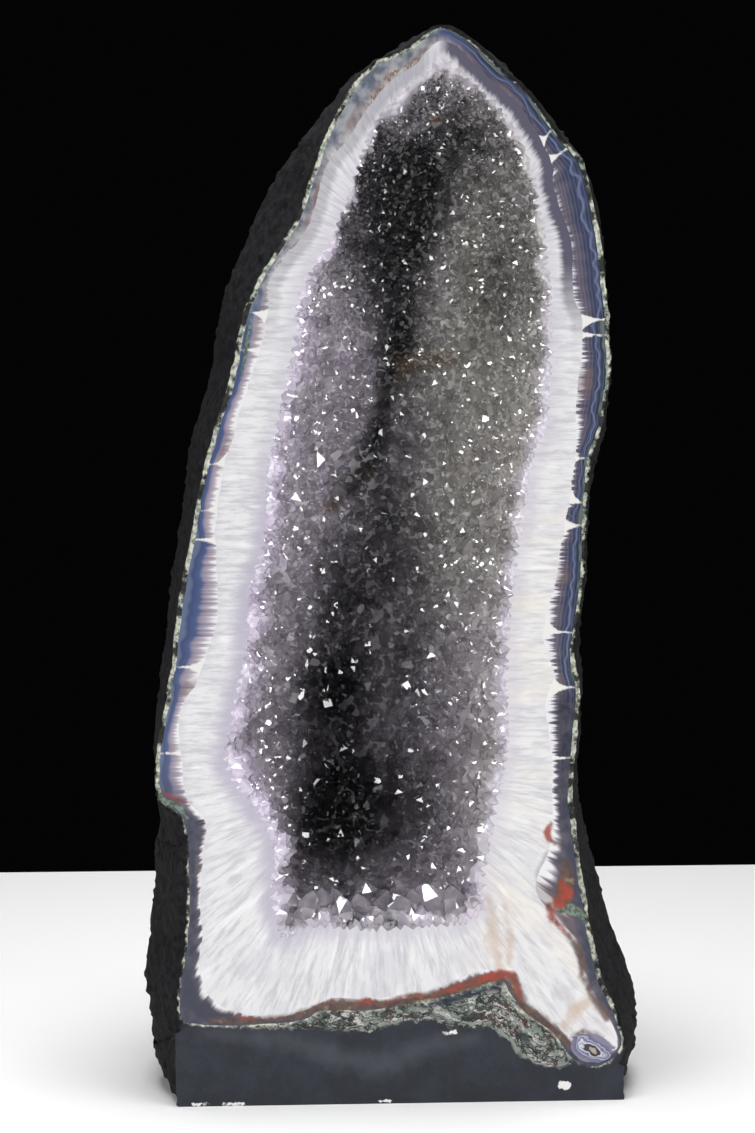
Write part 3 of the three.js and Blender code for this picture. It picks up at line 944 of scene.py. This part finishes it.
def mark_quartz(piece):
    places, _ = mark_face(piece)
    x, z = places.T
    tip = held((z - 395) / 45) * (0.4 + 0.6 * to_right(places))
    set_values(
        piece, from_agate=distance_to(quartz_edge, places, closed=True),
        from_points=distance_to(amethyst_edge, places, closed=True),
        stain=strokes_at(STAIN, places), bubble=strokes_at(BUBBLE, places),
        halo=strokes_at(HALO, places), tip=tip * np.clip(np.abs(x - 21) / 6, 0.15, 1),
        left=held((-x - 10) / 40) * held((z - 50) / 60) * held((360 - z) / 60),
        warm=held((x - 30) / 30) * held((380 - z) / 80),
    )


def mark_basalt(piece):
    places, depth = mark_face(piece)
    x, z = places.T
    front = depth < 0.3
    sawn_top = read_off([[-116, 42], [-100, 50], [60, 75], [120, 30]], x)

    def crust_at(some):
        width = np.where(on_right_side(some), read_off(CRUST_RIGHT, some[:, 1]),
                         read_off(CRUST_LEFT, some[:, 1]))
        return width - distance_to(agate_edge, some, closed=True)

    def breccia_at(some):
        edge = distance_to(BRECCIA, some, closed=True)
        return np.where(inside(BRECCIA, some), edge, -edge)

    set_values(
        piece, front=front * held((sawn_top - z) / 4),
        crust=where(depth < RIM_DEPTH, places, crust_at) - depth * 0.8,
        breccia=where(front, places, breccia_at),
        smudge=where(front, places, lambda some: strokes_at(SMUDGE, some)),
        chip=where(front, places, lambda some: strokes_at(CHIPS, some)),
    )


def mark_nodule(piece):
    places, _ = on_drawing(points_of(piece))
    tilt = math.radians(-32)
    x, z = (places - NODULE_CENTRE).T
    along = x * math.cos(tilt) + z * math.sin(tilt)
    across = z * math.cos(tilt) - x * math.sin(tilt)
    set_values(piece, ring=np.hypot(along / 13.5, across / 6.4))


def mark_crystal(piece):
    places, depth = on_drawing(points_of(piece))
    z = places[:, 1]
    # Painted shade: the cavity's hollows and the shadow below a ledge made darker, over crystal
    # that is partly smoky
    ledge_shadow = held(strokes_at(LEDGE_SHADOW, places) / 12 + 0.4) * 0.75
    dark = 1 - (1 - spots_at(SHADE_AND_SMOKE_SPOTS, places)) * (1 - ledge_shadow)
    # How far behind the face the painted shade takes to reach full strength, by height, in mm
    shade_depth = read_off([[96, 0.5], [112, 10], [380, 10], [440, 2.5], [480, 1.2]], z)
    below = under_hood(places)
    from_quartz = where(depth < RIM_DEPTH, places, otherwise=99.0,
                        values_at=lambda some: distance_to(amethyst_edge, some, closed=True))
    rim = held(1 - from_quartz / 9) * held(1.3 - depth / 9)
    set_values(
        # The painted shade grows with depth; the hanging crystals at the top are darker by a fixed
        # share
        piece, dark=dark * below * held(depth / shade_depth) + 0.6 * (1 - below) * held(depth),
        warm=spots_at(WARM, places), rusty=spots_at(RUSTY, places),
        pale=spots_at(PALE, places) * held(1.3 - depth / 60),
        rim=rim * read_off([[95, 0.2], [115, 1], [400, 1], [460, 0.1]], z),
    )


mark_agate(pieces["agate"])
mark_quartz(pieces["quartz"])
mark_basalt(pieces["basalt"])
mark_nodule(pieces["nodule"])
for piece in (pieces["bed"], floor_crystals, *points_pieces):
    mark_crystal(piece)


# ---------------------------------------------------------------- node helpers

def put(tree, kind, inputs=None, **settings):
    """Adds a node, sets it up, and fills its inputs or links them."""
    made = tree.nodes.new(kind)
    for key, value in settings.items():
        setattr(made, key, value)
    for key, value in (inputs or {}).items():
        if isinstance(value, bpy.types.NodeSocket):
            tree.links.new(value, made.inputs[key])
        else:
            made.inputs[key].default_value = value
    return made


def math_of(tree, how, a, b=0.0):
    return put(tree, "ShaderNodeMath", {0: a, 1: b}, operation=how).outputs[0]


def times(tree, a, b):
    return math_of(tree, "MULTIPLY", a, b)


def vector_math(tree, how, **values):
    """Works on vectors: a and b are the two vectors, scale is a number."""
    names = {"a": 0, "b": 1, "scale": "Scale"}
    inputs = {names[key]: value for key, value in values.items()}
    return put(tree, "ShaderNodeVectorMath", inputs, operation=how).outputs[0]


def color_of(value):
    return (*value, 1.0) if isinstance(value, tuple) and len(value) == 3 else value


def blend(tree, share, first, second):
    """One colour over another by a share from 0 to 1."""
    return put(tree, "ShaderNodeMix", {0: share, 6: color_of(first), 7: color_of(second)},
               data_type="RGBA").outputs[2]


def step(tree, value, low, high, to_low=0.0, to_high=1.0):
    """A soft step from one value to another."""
    return put(tree, "ShaderNodeMapRange", {
        "Value": value, "From Min": low, "From Max": high, "To Min": to_low, "To Max": to_high,
    }, interpolation_type="SMOOTHSTEP").outputs["Result"]


def kept(tree, name, output="Fac"):
    """A value kept on the piece's points."""
    return put(tree, "ShaderNodeAttribute", attribute_name=name).outputs[output]


def place_of(tree):
    """The place on the piece, in mm."""
    at = put(tree, "ShaderNodeTexCoord").outputs["Object"]
    return vector_math(tree, "SCALE", a=at, scale=1 / MM)


def noise_of(tree, place, size, detail=3.0, roughness=0.55):
    """Noise from 0 to 1 with lumps of the size given in mm."""
    scale = size if isinstance(size, bpy.types.NodeSocket) else 1.0 / size
    return put(tree, "ShaderNodeTexNoise", {
        "Vector": place, "Scale": scale, "Detail": detail, "Roughness": roughness,
    }).outputs["Fac"]


def patches_of(tree, place, size, detail, low, high, to_low=0.0, to_high=1.0, roughness=0.55):
    """Noise with lumps of a size in mm, brought to a soft step from one value to another."""
    return step(tree, noise_of(tree, place, size, detail, roughness), low, high, to_low, to_high)


def new_group(name, inputs, outputs):
    """An empty shader group with named inputs and outputs."""
    group = bpy.data.node_groups.new(name, "ShaderNodeTree")
    for label, kind, value in inputs:
        socket = group.interface.new_socket(label, in_out="INPUT", socket_type="NodeSocket" + kind)
        if value is not None:
            socket.default_value = value
    for label, kind in outputs:
        group.interface.new_socket(label, in_out="OUTPUT", socket_type="NodeSocket" + kind)
    return group, group.nodes.new("NodeGroupInput").outputs, group.nodes.new("NodeGroupOutput")


def use(tree, group, **inputs):
    """The outputs of a group, with its inputs given by name."""
    values = {key.replace("_", " "): color_of(value) for key, value in inputs.items()}
    return put(tree, "ShaderNodeGroup", values, node_tree=group).outputs


def edge_group():
    """A mask that is 1 above a level of a kept depth, with a soft and wandering edge."""
    group, given, out = new_group("wandering edge", [
        ("Place", "Vector", None), ("Depth", "Float", 0.0), ("Level", "Float", 0.0),
        ("Softness", "Float", 0.5), ("Wander", "Float", 1.0), ("Size", "Float", 4.0),
    ], [("Mask", "Float")])
    scale = math_of(group, "DIVIDE", 1.0, given["Size"])
    way = math_of(group, "SUBTRACT", noise_of(group, given["Place"], scale), 0.5)
    way = times(group, way, times(group, given["Wander"], 4.0))
    level = math_of(group, "SUBTRACT", math_of(group, "ADD", given["Depth"], way), given["Level"])
    soft = math_of(group, "MAXIMUM", given["Softness"], 0.01)
    share = step(group, math_of(group, "DIVIDE", level, soft), -1.0, 1.0)
    group.links.new(share, out.inputs["Mask"])
    return group


def mottle_group():
    """Two colours mixed in patches."""
    group, given, out = new_group("mottled colour", [
        ("Place", "Vector", None), ("First", "Color", None), ("Second", "Color", None),
        ("Size", "Float", 5.0), ("Middle", "Float", 0.5), ("Softness", "Float", 0.15),
    ], [("Color", "Color")])
    scale = math_of(group, "DIVIDE", 1.0, given["Size"])
    level = math_of(group, "SUBTRACT", noise_of(group, given["Place"], scale, 4.0), given["Middle"])
    share = step(group, math_of(group, "DIVIDE", level, given["Softness"]), -1.0, 1.0)
    group.links.new(blend(group, share, given["First"], given["Second"]), out.inputs["Color"])
    return group


def grain_group():
    """A surface normal with fine grain on it."""
    group, given, out = new_group("fine grain", [
        ("Place", "Vector", None), ("Size", "Float", 1.0), ("Height", "Float", 0.0002),
    ], [("Normal", "Vector")])
    scale = math_of(group, "DIVIDE", 1.0, given["Size"])
    bump = put(group, "ShaderNodeBump", {
        "Strength": 1.0, "Distance": given["Height"],
        "Height": noise_of(group, given["Place"], scale, 5.0, 0.65),
    })
    group.links.new(bump.outputs["Normal"], out.inputs["Normal"])
    return group


EDGE = edge_group()
MOTTLE = mottle_group()
GRAIN = grain_group()


def marked(tree, place, name, softness, wander, size, level=0.0):
    """1 where a kept depth is above a level, with a soft and wandering edge."""
    return use(tree, EDGE, Place=place, Depth=kept(tree, name), Level=level, Softness=softness,
               Wander=wander, Size=size)["Mask"]


def mottled(tree, place, first, second, size, **more):
    """Two colours in patches of a size in mm."""
    return use(tree, MOTTLE, Place=place, First=first, Second=second, Size=size, **more)["Color"]


def painted(tree, place, color, marks):
    """The colour with marks over it: [kept depth, softness, wander, size, how much, colour]."""
    for name, softness, wander, size, much, look in marks:
        mask = marked(tree, place, name, softness, wander, size)
        color = blend(tree, times(tree, mask, much), color, look)
    return color


def new_material(name):
    """A node material with its Principled shader ready to link."""
    material = bpy.data.materials.new(name)
    material.use_nodes = True
    tree = material.node_tree
    shader = tree.nodes["Principled BSDF"]
    return material, tree, shader


def link(tree, shader, **inputs):
    for key, value in inputs.items():
        socket = shader.inputs[key.replace("_", " ")]
        if isinstance(value, bpy.types.NodeSocket):
            tree.links.new(value, socket)
        else:
            socket.default_value = color_of(value)


def reddened(tree, place, color):
    """The iron-red and brown streaks, and the green, that cross all the layers."""
    red = mottled(tree, place, (0.29, 0.030, 0.010), (0.13, 0.032, 0.014), 6.0)
    rust = mottled(tree, place, (0.050, 0.020, 0.017), (0.10, 0.052, 0.034), 5.0)
    rust = blend(tree, patches_of(tree, place, 8.0, 3.0, 0.6, 0.7), rust, (0.20, 0.14, 0.085))
    moss = mottled(tree, place, (0.035, 0.06, 0.045), (0.16, 0.21, 0.16), 2.0)
    return painted(tree, place, color, [
        ("green", 0.5, 0.6, 2.5, 1.0, moss), ("ink", 2.0, 1.2, 5.0, 0.9, (0.018, 0.022, 0.045)),
        ("brown", 1.6, 0.9, 5.0, 0.9, rust), ("red", 1.3, 0.8, 4.0, 0.93, red),
    ])


# ---------------------------------------------------------------- materials

def basalt_material():
    material, tree, shader = new_material("basalt")
    place = place_of(tree)
    rough_rock = mottled(tree, place, (0.0032, 0.0032, 0.0040), (0.0105, 0.0102, 0.0122), 3.5,
                         Softness=0.12)
    speck = patches_of(tree, place, 1.1, 2.0, 0.68, 0.78)
    rough_rock = blend(tree, speck, rough_rock, (0.055, 0.06, 0.06))
    sawn = mottled(tree, place, (0.021, 0.024, 0.031), (0.028, 0.032, 0.042), 14.0)
    pores = patches_of(tree, place, 1.0, 3.0, 0.45, 0.7, 0.0, 0.35)
    sawn = blend(tree, pores, sawn, (0.013, 0.015, 0.019))
    sawn = painted(tree, place, sawn, [
        ("smudge", 6.0, 3.0, 9.0, 0.4, (0.085, 0.092, 0.108)),
        ("breccia", 1.0, 1.6, 5.0, 1.0, breccia_color(tree, place)),
        ("chip", 0.3, 0.8, 2.0, 1.0, (0.7, 0.7, 0.68)),
    ])
    front = kept(tree, "front")
    color = blend(tree, front, rough_rock, sawn)
    crumbs = mottled(tree, place, (0.13, 0.165, 0.135), (0.55, 0.56, 0.46), 2.6, Middle=0.48,
                     Softness=0.16)
    patchy = patches_of(tree, place, 9.0, 4.0, 0.43, 0.55, 0.04, 1.0, 0.65)
    color = painted(tree, place, color, [("crust", 0.5, 1.1, 3.5, patchy, crumbs)])
    color = reddened(tree, place, color)
    grain = use(tree, GRAIN, Place=place, Size=1.6, Height=0.0007)["Normal"]
    fine = use(tree, GRAIN, Place=place, Size=0.9, Height=0.00006)["Normal"]
    normal = put(tree, "ShaderNodeMix", {0: front, 4: grain, 5: fine}, data_type="VECTOR")
    roughness = math_of(tree, "ADD", times(tree, front, -0.25), 0.85)
    link(tree, shader, Base_Color=color, Normal=normal.outputs[1], Roughness=roughness,
         Specular_IOR_Level=0.14)
    return material


def breccia_color(tree, place):
    """Grey-green and white broken stone in drawn-out pieces, with dark and rusty cracks."""
    parts = put(tree, "ShaderNodeSeparateXYZ", {0: place}).outputs
    along = times(tree, math_of(tree, "ADD", parts[0], parts[2]), 0.28)
    drawn = put(tree, "ShaderNodeCombineXYZ", {0: kept(tree, "breccia"), 1: along}).outputs[0]
    bent = put(tree, "ShaderNodeTexNoise", {"Vector": place, "Scale": 0.2, "Detail": 3.0})
    bent = vector_math(tree, "SCALE", a=bent.outputs["Color"], scale=6.0)
    bent = vector_math(tree, "ADD", a=drawn, b=bent)
    stones = mottled(tree, bent, (0.040, 0.050, 0.047), (0.20, 0.225, 0.20), 3.4, Softness=0.10)
    white = patches_of(tree, bent, 2.4, 4.0, 0.53, 0.62, roughness=0.6)
    stones = blend(tree, white, stones, (0.46, 0.44, 0.42))
    cells = put(tree, "ShaderNodeTexVoronoi", {
        "Vector": bent, "Scale": 0.30, "Randomness": 1.0,
    }, feature="DISTANCE_TO_EDGE").outputs["Distance"]
    tones = mottled(tree, place, (0.012, 0.015, 0.015), (0.065, 0.014, 0.014), 9.0, Middle=0.58,
                    Softness=0.06)
    return blend(tree, step(tree, cells, 0.02, 0.10, 0.9, 0.0), stones, tones)


# The colours of the agate from its outer edge (0) to the quartz (1), on the two sides
LEFT_BANDS = [
    (0.0, (0.10, 0.125, 0.20)), (0.12, (0.045, 0.064, 0.14)), (0.34, (0.066, 0.090, 0.19)),
    (0.46, (0.21, 0.19, 0.26)), (0.66, (0.33, 0.28, 0.33)), (0.80, (0.44, 0.42, 0.45)),
    (0.93, (0.66, 0.655, 0.67)),
]
RIGHT_BANDS = [
    (0.0, (0.09, 0.11, 0.11)), (0.08, (0.020, 0.028, 0.045)), (0.24, (0.040, 0.052, 0.10)),
    (0.30, (0.12, 0.14, 0.23)), (0.36, (0.030, 0.040, 0.082)), (0.50, (0.046, 0.050, 0.088)),
    (0.62, (0.080, 0.072, 0.100)), (0.80, (0.115, 0.100, 0.125)), (0.90, (0.36, 0.35, 0.40)),
    (0.98, (0.66, 0.655, 0.67)),
]
# The rings of the nodule from its middle (0) to its edge (1)
NODULE_RINGS = [
    (0.0, (0.36, 0.30, 0.24)), (0.14, (0.30, 0.25, 0.20)), (0.20, (0.018, 0.018, 0.022)),
    (0.36, (0.022, 0.022, 0.030)), (0.42, (0.60, 0.60, 0.68)), (0.48, (0.24, 0.25, 0.36)),
    (0.58, (0.07, 0.08, 0.15)), (0.64, (0.40, 0.40, 0.52)), (0.72, (0.10, 0.10, 0.17)),
    (0.90, (0.13, 0.13, 0.20)), (1.0, (0.17, 0.165, 0.24)),
]


def ramp(tree, value, stops):
    """Colours by a value from 0 to 1, blended from each stop to the next."""
    node = put(tree, "ShaderNodeValToRGB", {0: value})
    elements = node.color_ramp.elements
    while len(elements) < len(stops):
        elements.new(0.5)
    for element, (at, color) in zip(elements, stops):
        element.position = at
        element.color = color_of(color)
    return node.outputs[0]


def agate_material():
    material, tree, shader = new_material("banded agate")
    place = place_of(tree)
    way = kept(tree, "rim_way", "Vector")
    share = kept(tree, "share")
    sway = patches_of(tree, way, 12.0, 1.0, 0.3, 0.7, -0.12, 0.12)
    jag = times(tree, patches_of(tree, way, 1.8, 3.0, 0.3, 0.7, -0.22, 0.22),
                step(tree, share, 0.35, 0.85))
    moved = math_of(tree, "ADD", math_of(tree, "ADD", share, sway), jag)
    moved = math_of(tree, "SUBTRACT", moved, kept(tree, "block"))
    right, high = kept(tree, "right"), kept(tree, "high")
    color = blend(tree, right, ramp(tree, moved, LEFT_BANDS), ramp(tree, moved, RIGHT_BANDS))
    lines = times(tree, step(tree, fine_lines(tree, place), 0.6, 1.0, 0.0, 0.12), right)
    color = blend(tree, lines, color, (0.30, 0.32, 0.43))
    greyish = mottled(tree, place, (0.10, 0.115, 0.13), (0.36, 0.36, 0.35), 6.0)
    color = blend(tree, times(tree, high, 0.7), color, greyish)
    line = step(tree, math_of(tree, "ABSOLUTE", math_of(tree, "SUBTRACT", moved, 0.8)), 0.14, 0.04)
    line = times(tree, line, patches_of(tree, way, 16.0, 2.0, 0.45, 0.6))
    color = blend(tree, times(tree, line, high), color, (0.20, 0.12, 0.09))
    low = times(tree, kept(tree, "low"), step(tree, moved, 0.9, 0.6, 0.0, 0.88))
    deep = mottled(tree, place, (0.010, 0.012, 0.026), (0.050, 0.046, 0.066), 7.0)
    color = blend(tree, low, color, deep)
    dusky = times(tree, patches_of(tree, way, 30.0, 2.0, 0.5, 0.68, 0.0, 0.65),
                  step(tree, share, 0.35, 0.6))
    color = blend(tree, dusky, color, (0.15, 0.10, 0.095))
    color = painted(tree, place, color, [("flare", 0.45, 0.5, 2.2, 1.0, (0.66, 0.65, 0.63))])
    link(tree, shader, Base_Color=reddened(tree, place, color), Roughness=0.16)
    return material


def fine_lines(tree, place):
    """Waves that run along the rim, because they count across the agate."""
    other = times(tree, noise_of(tree, place, 40.0, 2.0), 6.0)
    at = put(tree, "ShaderNodeCombineXYZ", {0: kept(tree, "across"), 1: other}).outputs[0]
    return put(tree, "ShaderNodeTexWave", {
        "Vector": at, "Scale": 0.16, "Distortion": 5.0, "Detail": 2.0, "Detail Scale": 0.6,
    }).outputs["Fac"]


def quartz_material():
    material, tree, shader = new_material("white quartz")
    place = place_of(tree)
    # A small part of the place makes the fibres change slowly along their length
    fibres = vector_math(tree, "ADD", a=kept(tree, "rim_way", "Vector"),
                         b=vector_math(tree, "SCALE", a=place, scale=0.15))
    feather = patches_of(tree, fibres, 2.4, 5.0, 0.42, 0.66, roughness=0.7)
    color = blend(tree, times(tree, feather, 0.55), (0.64, 0.635, 0.645), (0.33, 0.315, 0.365))
    bright = patches_of(tree, fibres, 5.0, 3.0, 0.55, 0.75)
    color = blend(tree, bright, color, (0.74, 0.735, 0.74))
    cloudy = use(tree, EDGE, Place=place, Depth=noise_of(tree, place, 16.0, 3.0), Level=0.58,
                 Softness=0.1, Wander=0.02, Size=3.0)["Mask"]
    color = blend(tree, times(tree, cloudy, 0.4), color, (0.48, 0.47, 0.52))
    warm = times(tree, kept(tree, "warm"),
                 patches_of(tree, fibres, 12.0, 3.0, 0.40, 0.70, 0.05, 0.5))
    color = blend(tree, warm, color, (0.70, 0.64, 0.56))
    color = painted(tree, place, color, [
        ("stain", 2.5, 2.0, 8.0, 0.65, (0.46, 0.34, 0.25)),
        ("bubble", 1.5, 1.0, 4.0, 0.7, (0.30, 0.28, 0.32)),
        ("halo", 0.8, 0.6, 4.0, 1.0, (0.15, 0.145, 0.22)),
    ])
    left = kept(tree, "left")
    for edge, reach, softness, wander, size, much, look in (
        ("from_points", 5.5, 4.5, 3.0, 4.0, step(tree, left, 0.0, 1.0, 0.35, 0.95),
         (0.41, 0.38, 0.46)),
        ("from_agate", 2.0, 2.5, 1.6, 5.0, step(tree, left, 0.0, 1.0, 0.0, 0.3),
         (0.45, 0.44, 0.50)),
        ("from_agate", 6.0, 2.0, 1.4, 2.0, kept(tree, "tip"), (0.085, 0.080, 0.115)),
    ):
        near = use(tree, EDGE, Place=fibres, Depth=times(tree, kept(tree, edge), -1.0),
                   Level=-reach, Softness=softness, Wander=wander, Size=size)["Mask"]
        color = blend(tree, times(tree, near, much), color, look)
    link(tree, shader, Base_Color=reddened(tree, place, color), Roughness=0.22)
    return material


def nodule_material():
    material, tree, shader = new_material("nodule agate")
    sway = patches_of(tree, place_of(tree), 7.0, 2.0, 0.25, 0.75, -0.22, 0.22)
    color = ramp(tree, math_of(tree, "ADD", kept(tree, "ring"), sway), NODULE_RINGS)
    link(tree, shader, Base_Color=color, Roughness=0.18)
    return material


QUARTZ_IOR = 1.544


def crystal_tint(tree, place):
    """The tint of the massed crystal: lilac, smoky or olive by place, a little uneven."""
    color = mottled(tree, place, (0.66, 0.59, 0.70), (0.79, 0.73, 0.81), 12.0)
    color = blend(tree, kept(tree, "warm"), color, (0.56, 0.55, 0.48))
    color = blend(tree, kept(tree, "pale"), color, (0.88, 0.80, 0.94))
    cloud = patches_of(tree, place, 11.0, 4.0, 0.38, 0.68, 0.0, 0.42, 0.6)
    return blend(tree, cloud, color, (0.26, 0.25, 0.26))


def shaded(tree, place, color):
    """The colour with painted shade over the cavity's hollows, over crystal that is partly smoky,
    and with the rusty parts; and the mask of the painted shade.
    """
    dark = marked(tree, place, "dark", 0.45, 0.12, 9.0, level=0.45)
    color = blend(tree, times(tree, dark, 0.97), color, (0.012, 0.012, 0.014))
    rusty = marked(tree, place, "rusty", 0.3, 0.15, 4.0, level=0.45)
    return blend(tree, times(tree, rusty, 0.6), color, (0.22, 0.15, 0.08)), dark


def bed_material():
    material, tree, shader = new_material("massed amethyst")
    place = place_of(tree)
    color = crystal_tint(tree, place)
    cells = put(tree, "ShaderNodeTexVoronoi", {"Vector": place, "Scale": 0.42}).outputs["Color"]
    shade = put(tree, "ShaderNodeSeparateColor", {0: cells}).outputs[0]
    color = blend(tree, step(tree, shade, 0.0, 1.0, 0.0, 0.4), color, (0.03, 0.03, 0.035))
    # Painted shade in the cavity's hollows, and the rusty parts
    color, _ = shaded(tree, place, color)
    rim = mottled(tree, place, (0.38, 0.34, 0.44), (0.68, 0.64, 0.72), 2.4)
    link(tree, shader, Base_Color=blend(tree, kept(tree, "rim"), color, rim), Roughness=0.35)
    return material


def point_material():
    """Clear quartz and amethyst points. Light passes on through them to the bed behind."""
    material, tree, shader = new_material("amethyst points")
    place = place_of(tree)
    own = kept(tree, "own")
    color = crystal_tint(tree, place)
    color = blend(tree, step(tree, own, 0.0, 0.7, 0.30, 0.0), color, (0.05, 0.05, 0.055))
    color = blend(tree, step(tree, own, 0.7, 1.0, 0.0, 0.35), color, (0.90, 0.88, 0.92))
    color = blend(tree, times(tree, kept(tree, "rim"), 0.6), color, (0.72, 0.68, 0.77))
    # Painted shade in the cavity's hollows and the rusty parts; the coat fades out under the
    # painted shade
    color, dark = shaded(tree, place, color)
    link(tree, shader, Base_Color=color, IOR=QUARTZ_IOR, Transmission_Weight=0.55,
         Roughness=step(tree, own, 0.0, 1.0, 0.02, 0.10),
         Coat_Weight=step(tree, dark, 0.3, 1.0, 1.0, 0.03), Coat_IOR=1.6, Coat_Roughness=0.02)
    through = put(tree, "ShaderNodeBsdfTransparent", {"Color": (0.85, 0.83, 0.87, 1)})
    shadow = put(tree, "ShaderNodeLightPath").outputs["Is Shadow Ray"]
    both = put(tree, "ShaderNodeMixShader", {
        0: times(tree, shadow, 0.75), 1: shader.outputs[0], 2: through.outputs[0],
    })
    tree.links.new(both.outputs[0], tree.nodes["Material Output"].inputs["Surface"])
    return material


def floor_crystal_material():
    """The large clear lilac crystals on the floor, tinted by what they soak up."""
    material, tree, shader = new_material("amethyst floor crystals")
    color = mottled(tree, place_of(tree), (0.50, 0.46, 0.53), (0.33, 0.30, 0.35), 7.0)
    link(tree, shader, Base_Color=color, IOR=QUARTZ_IOR, Transmission_Weight=0.55, Roughness=0.06,
         Coat_Weight=1.0, Coat_IOR=1.6, Coat_Roughness=0.02)
    soak = put(tree, "ShaderNodeVolumeAbsorption", {
        "Color": (0.70, 0.62, 0.76, 1), "Density": 18.0,
    })
    tree.links.new(soak.outputs[0], tree.nodes["Material Output"].inputs["Volume"])
    return material


# ---------------------------------------------------------------- materials and bodies

def settle(piece, material, slot, *nodes):
    """Gives a piece its material and its body, and hides the CAD nodes that it replaces; the slot
    is not used.
    """
    piece.data.materials.clear()
    piece.data.materials.append(material)
    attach(piece, "root")
    if nodes:
        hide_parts(*nodes)


settle(pieces["basalt"], basalt_material(), "basalt", "basalt_matrix")
settle(pieces["agate"], agate_material(), "agate", "agate_rim")
settle(pieces["quartz"], quartz_material(), "quartz", "quartz_band")
settle(pieces["nodule"], nodule_material(), "nodule", "agate_nodule")
settle(pieces["bed"], bed_material(), "amethyst", "amethyst_lining")
clear_points = point_material()
for piece in points_pieces:
    settle(piece, clear_points, "amethyst")
settle(floor_crystals, floor_crystal_material(), "amethyst")


# ---------------------------------------------------------------- studio

FLOOR_SIDE, FLOOR_FRONT, FLOOR_BACK = 2.0, -2.5, 0.62


def make_floor():
    """A plain pale table top that ends behind the stone."""
    corners = np.array([
        (-FLOOR_SIDE, FLOOR_FRONT, 0), (FLOOR_SIDE, FLOOR_FRONT, 0),
        (FLOOR_SIDE, FLOOR_BACK, 0), (-FLOOR_SIDE, FLOOR_BACK, 0),
    ])
    floor = mesh_object("floor", corners, np.array([(0, 1, 2), (0, 2, 3)]), smooth=False)
    material, tree, shader = new_material("floor")
    link(tree, shader, Base_Color=(0.86, 0.86, 0.86), Roughness=0.6)
    floor.data.materials.append(material)


# [name, place, aim, width in m, power in W, do surfaces mirror it, does it light surfaces]
LIGHTS = [
    ["left softbox", (-1.0, -1.45, 0.95), (0, 0, 0.3), 0.8, 9.6, False, True],
    ["right softbox", (1.1, -1.4, 0.6), (0, 0, 0.2), 0.7, 7.6, False, True],
    ["left spark", (-1.3, -0.8, 0.5), (0, 0, 0.3), 0.35, 3.4, True, True],
    ["right spark", (1.25, -0.8, 0.3), (0, 0, 0.25), 0.35, 4.6, True, True],
    ["front spark", (-0.3, -1.7, 0.8), (0, 0, 0.28), 0.3, 2.6, True, True],
    ["upper left glint", (-0.75, -1.35, 1.0), (0, 0, 0.3), 0.4, 6.5, True, False],
    ["upper right glint", (0.8, -1.35, 0.9), (0, 0, 0.3), 0.4, 6.5, True, False],
    ["low left glint", (-0.95, -1.3, 0.3), (0, 0, 0.3), 0.4, 6.5, True, False],
    ["low right glint", (0.8, -1.45, 0.2), (0, 0, 0.3), 0.4, 6.5, True, False],
    ["high glint", (0.1, -1.1, 1.35), (0, 0, 0.3), 0.4, 6.5, True, False],
    ["overhead", (0, -0.12, 2.0), (0, -0.12, 0), 1.2, 49, True, True],
]


def make_light(name, at, aim, size, power, mirrored, lights):
    data = bpy.data.lights.new(name, "AREA")
    data.shape = "SQUARE"
    data.size = size
    data.energy = power
    lamp = bpy.data.objects.new(name, data)
    bpy.context.scene.collection.objects.link(lamp)
    lamp.visible_glossy = mirrored
    lamp.visible_diffuse = lights
    lamp.location = at
    lamp.rotation_euler = (Vector(aim) - Vector(at)).to_track_quat("-Z", "Y").to_euler()


CAMERA_LENS = 81.4                                   # in mm, for a sensor 36 mm high
CAMERA_TURN = math.radians(-3.5)
CAMERA_AIM = Vector((-0.0118, FACE_Y, 0.2828))
CAMERA_AWAY, CAMERA_RISE = 1.33, 0.07                # from what it aims at, in m


def make_camera():
    data = bpy.data.cameras.new("camera")
    data.sensor_fit = "VERTICAL"
    data.sensor_height = 36
    data.lens = CAMERA_LENS
    camera = bpy.data.objects.new("camera", data)
    bpy.context.scene.collection.objects.link(camera)
    camera.location = CAMERA_AIM + Vector((
        math.sin(CAMERA_TURN) * CAMERA_AWAY, -math.cos(CAMERA_TURN) * CAMERA_AWAY, CAMERA_RISE,
    ))
    camera.rotation_euler = (CAMERA_AIM - camera.location).to_track_quat("-Z", "Y").to_euler()
    bpy.context.scene.camera = camera


def make_world():
    """Air that is nearly black, so that only the lamps light the stone."""
    world = bpy.data.worlds.new("studio")
    bpy.context.scene.world = world
    world.use_nodes = True
    background = world.node_tree.nodes["Background"].inputs
    background["Color"].default_value = (0.0013, 0.0014, 0.0013, 1)
    background["Strength"].default_value = 1.0


make_floor()
make_camera()
for light in LIGHTS:
    make_light(*light)
make_world()
bpy.context.scene.view_settings.view_transform = "Standard"
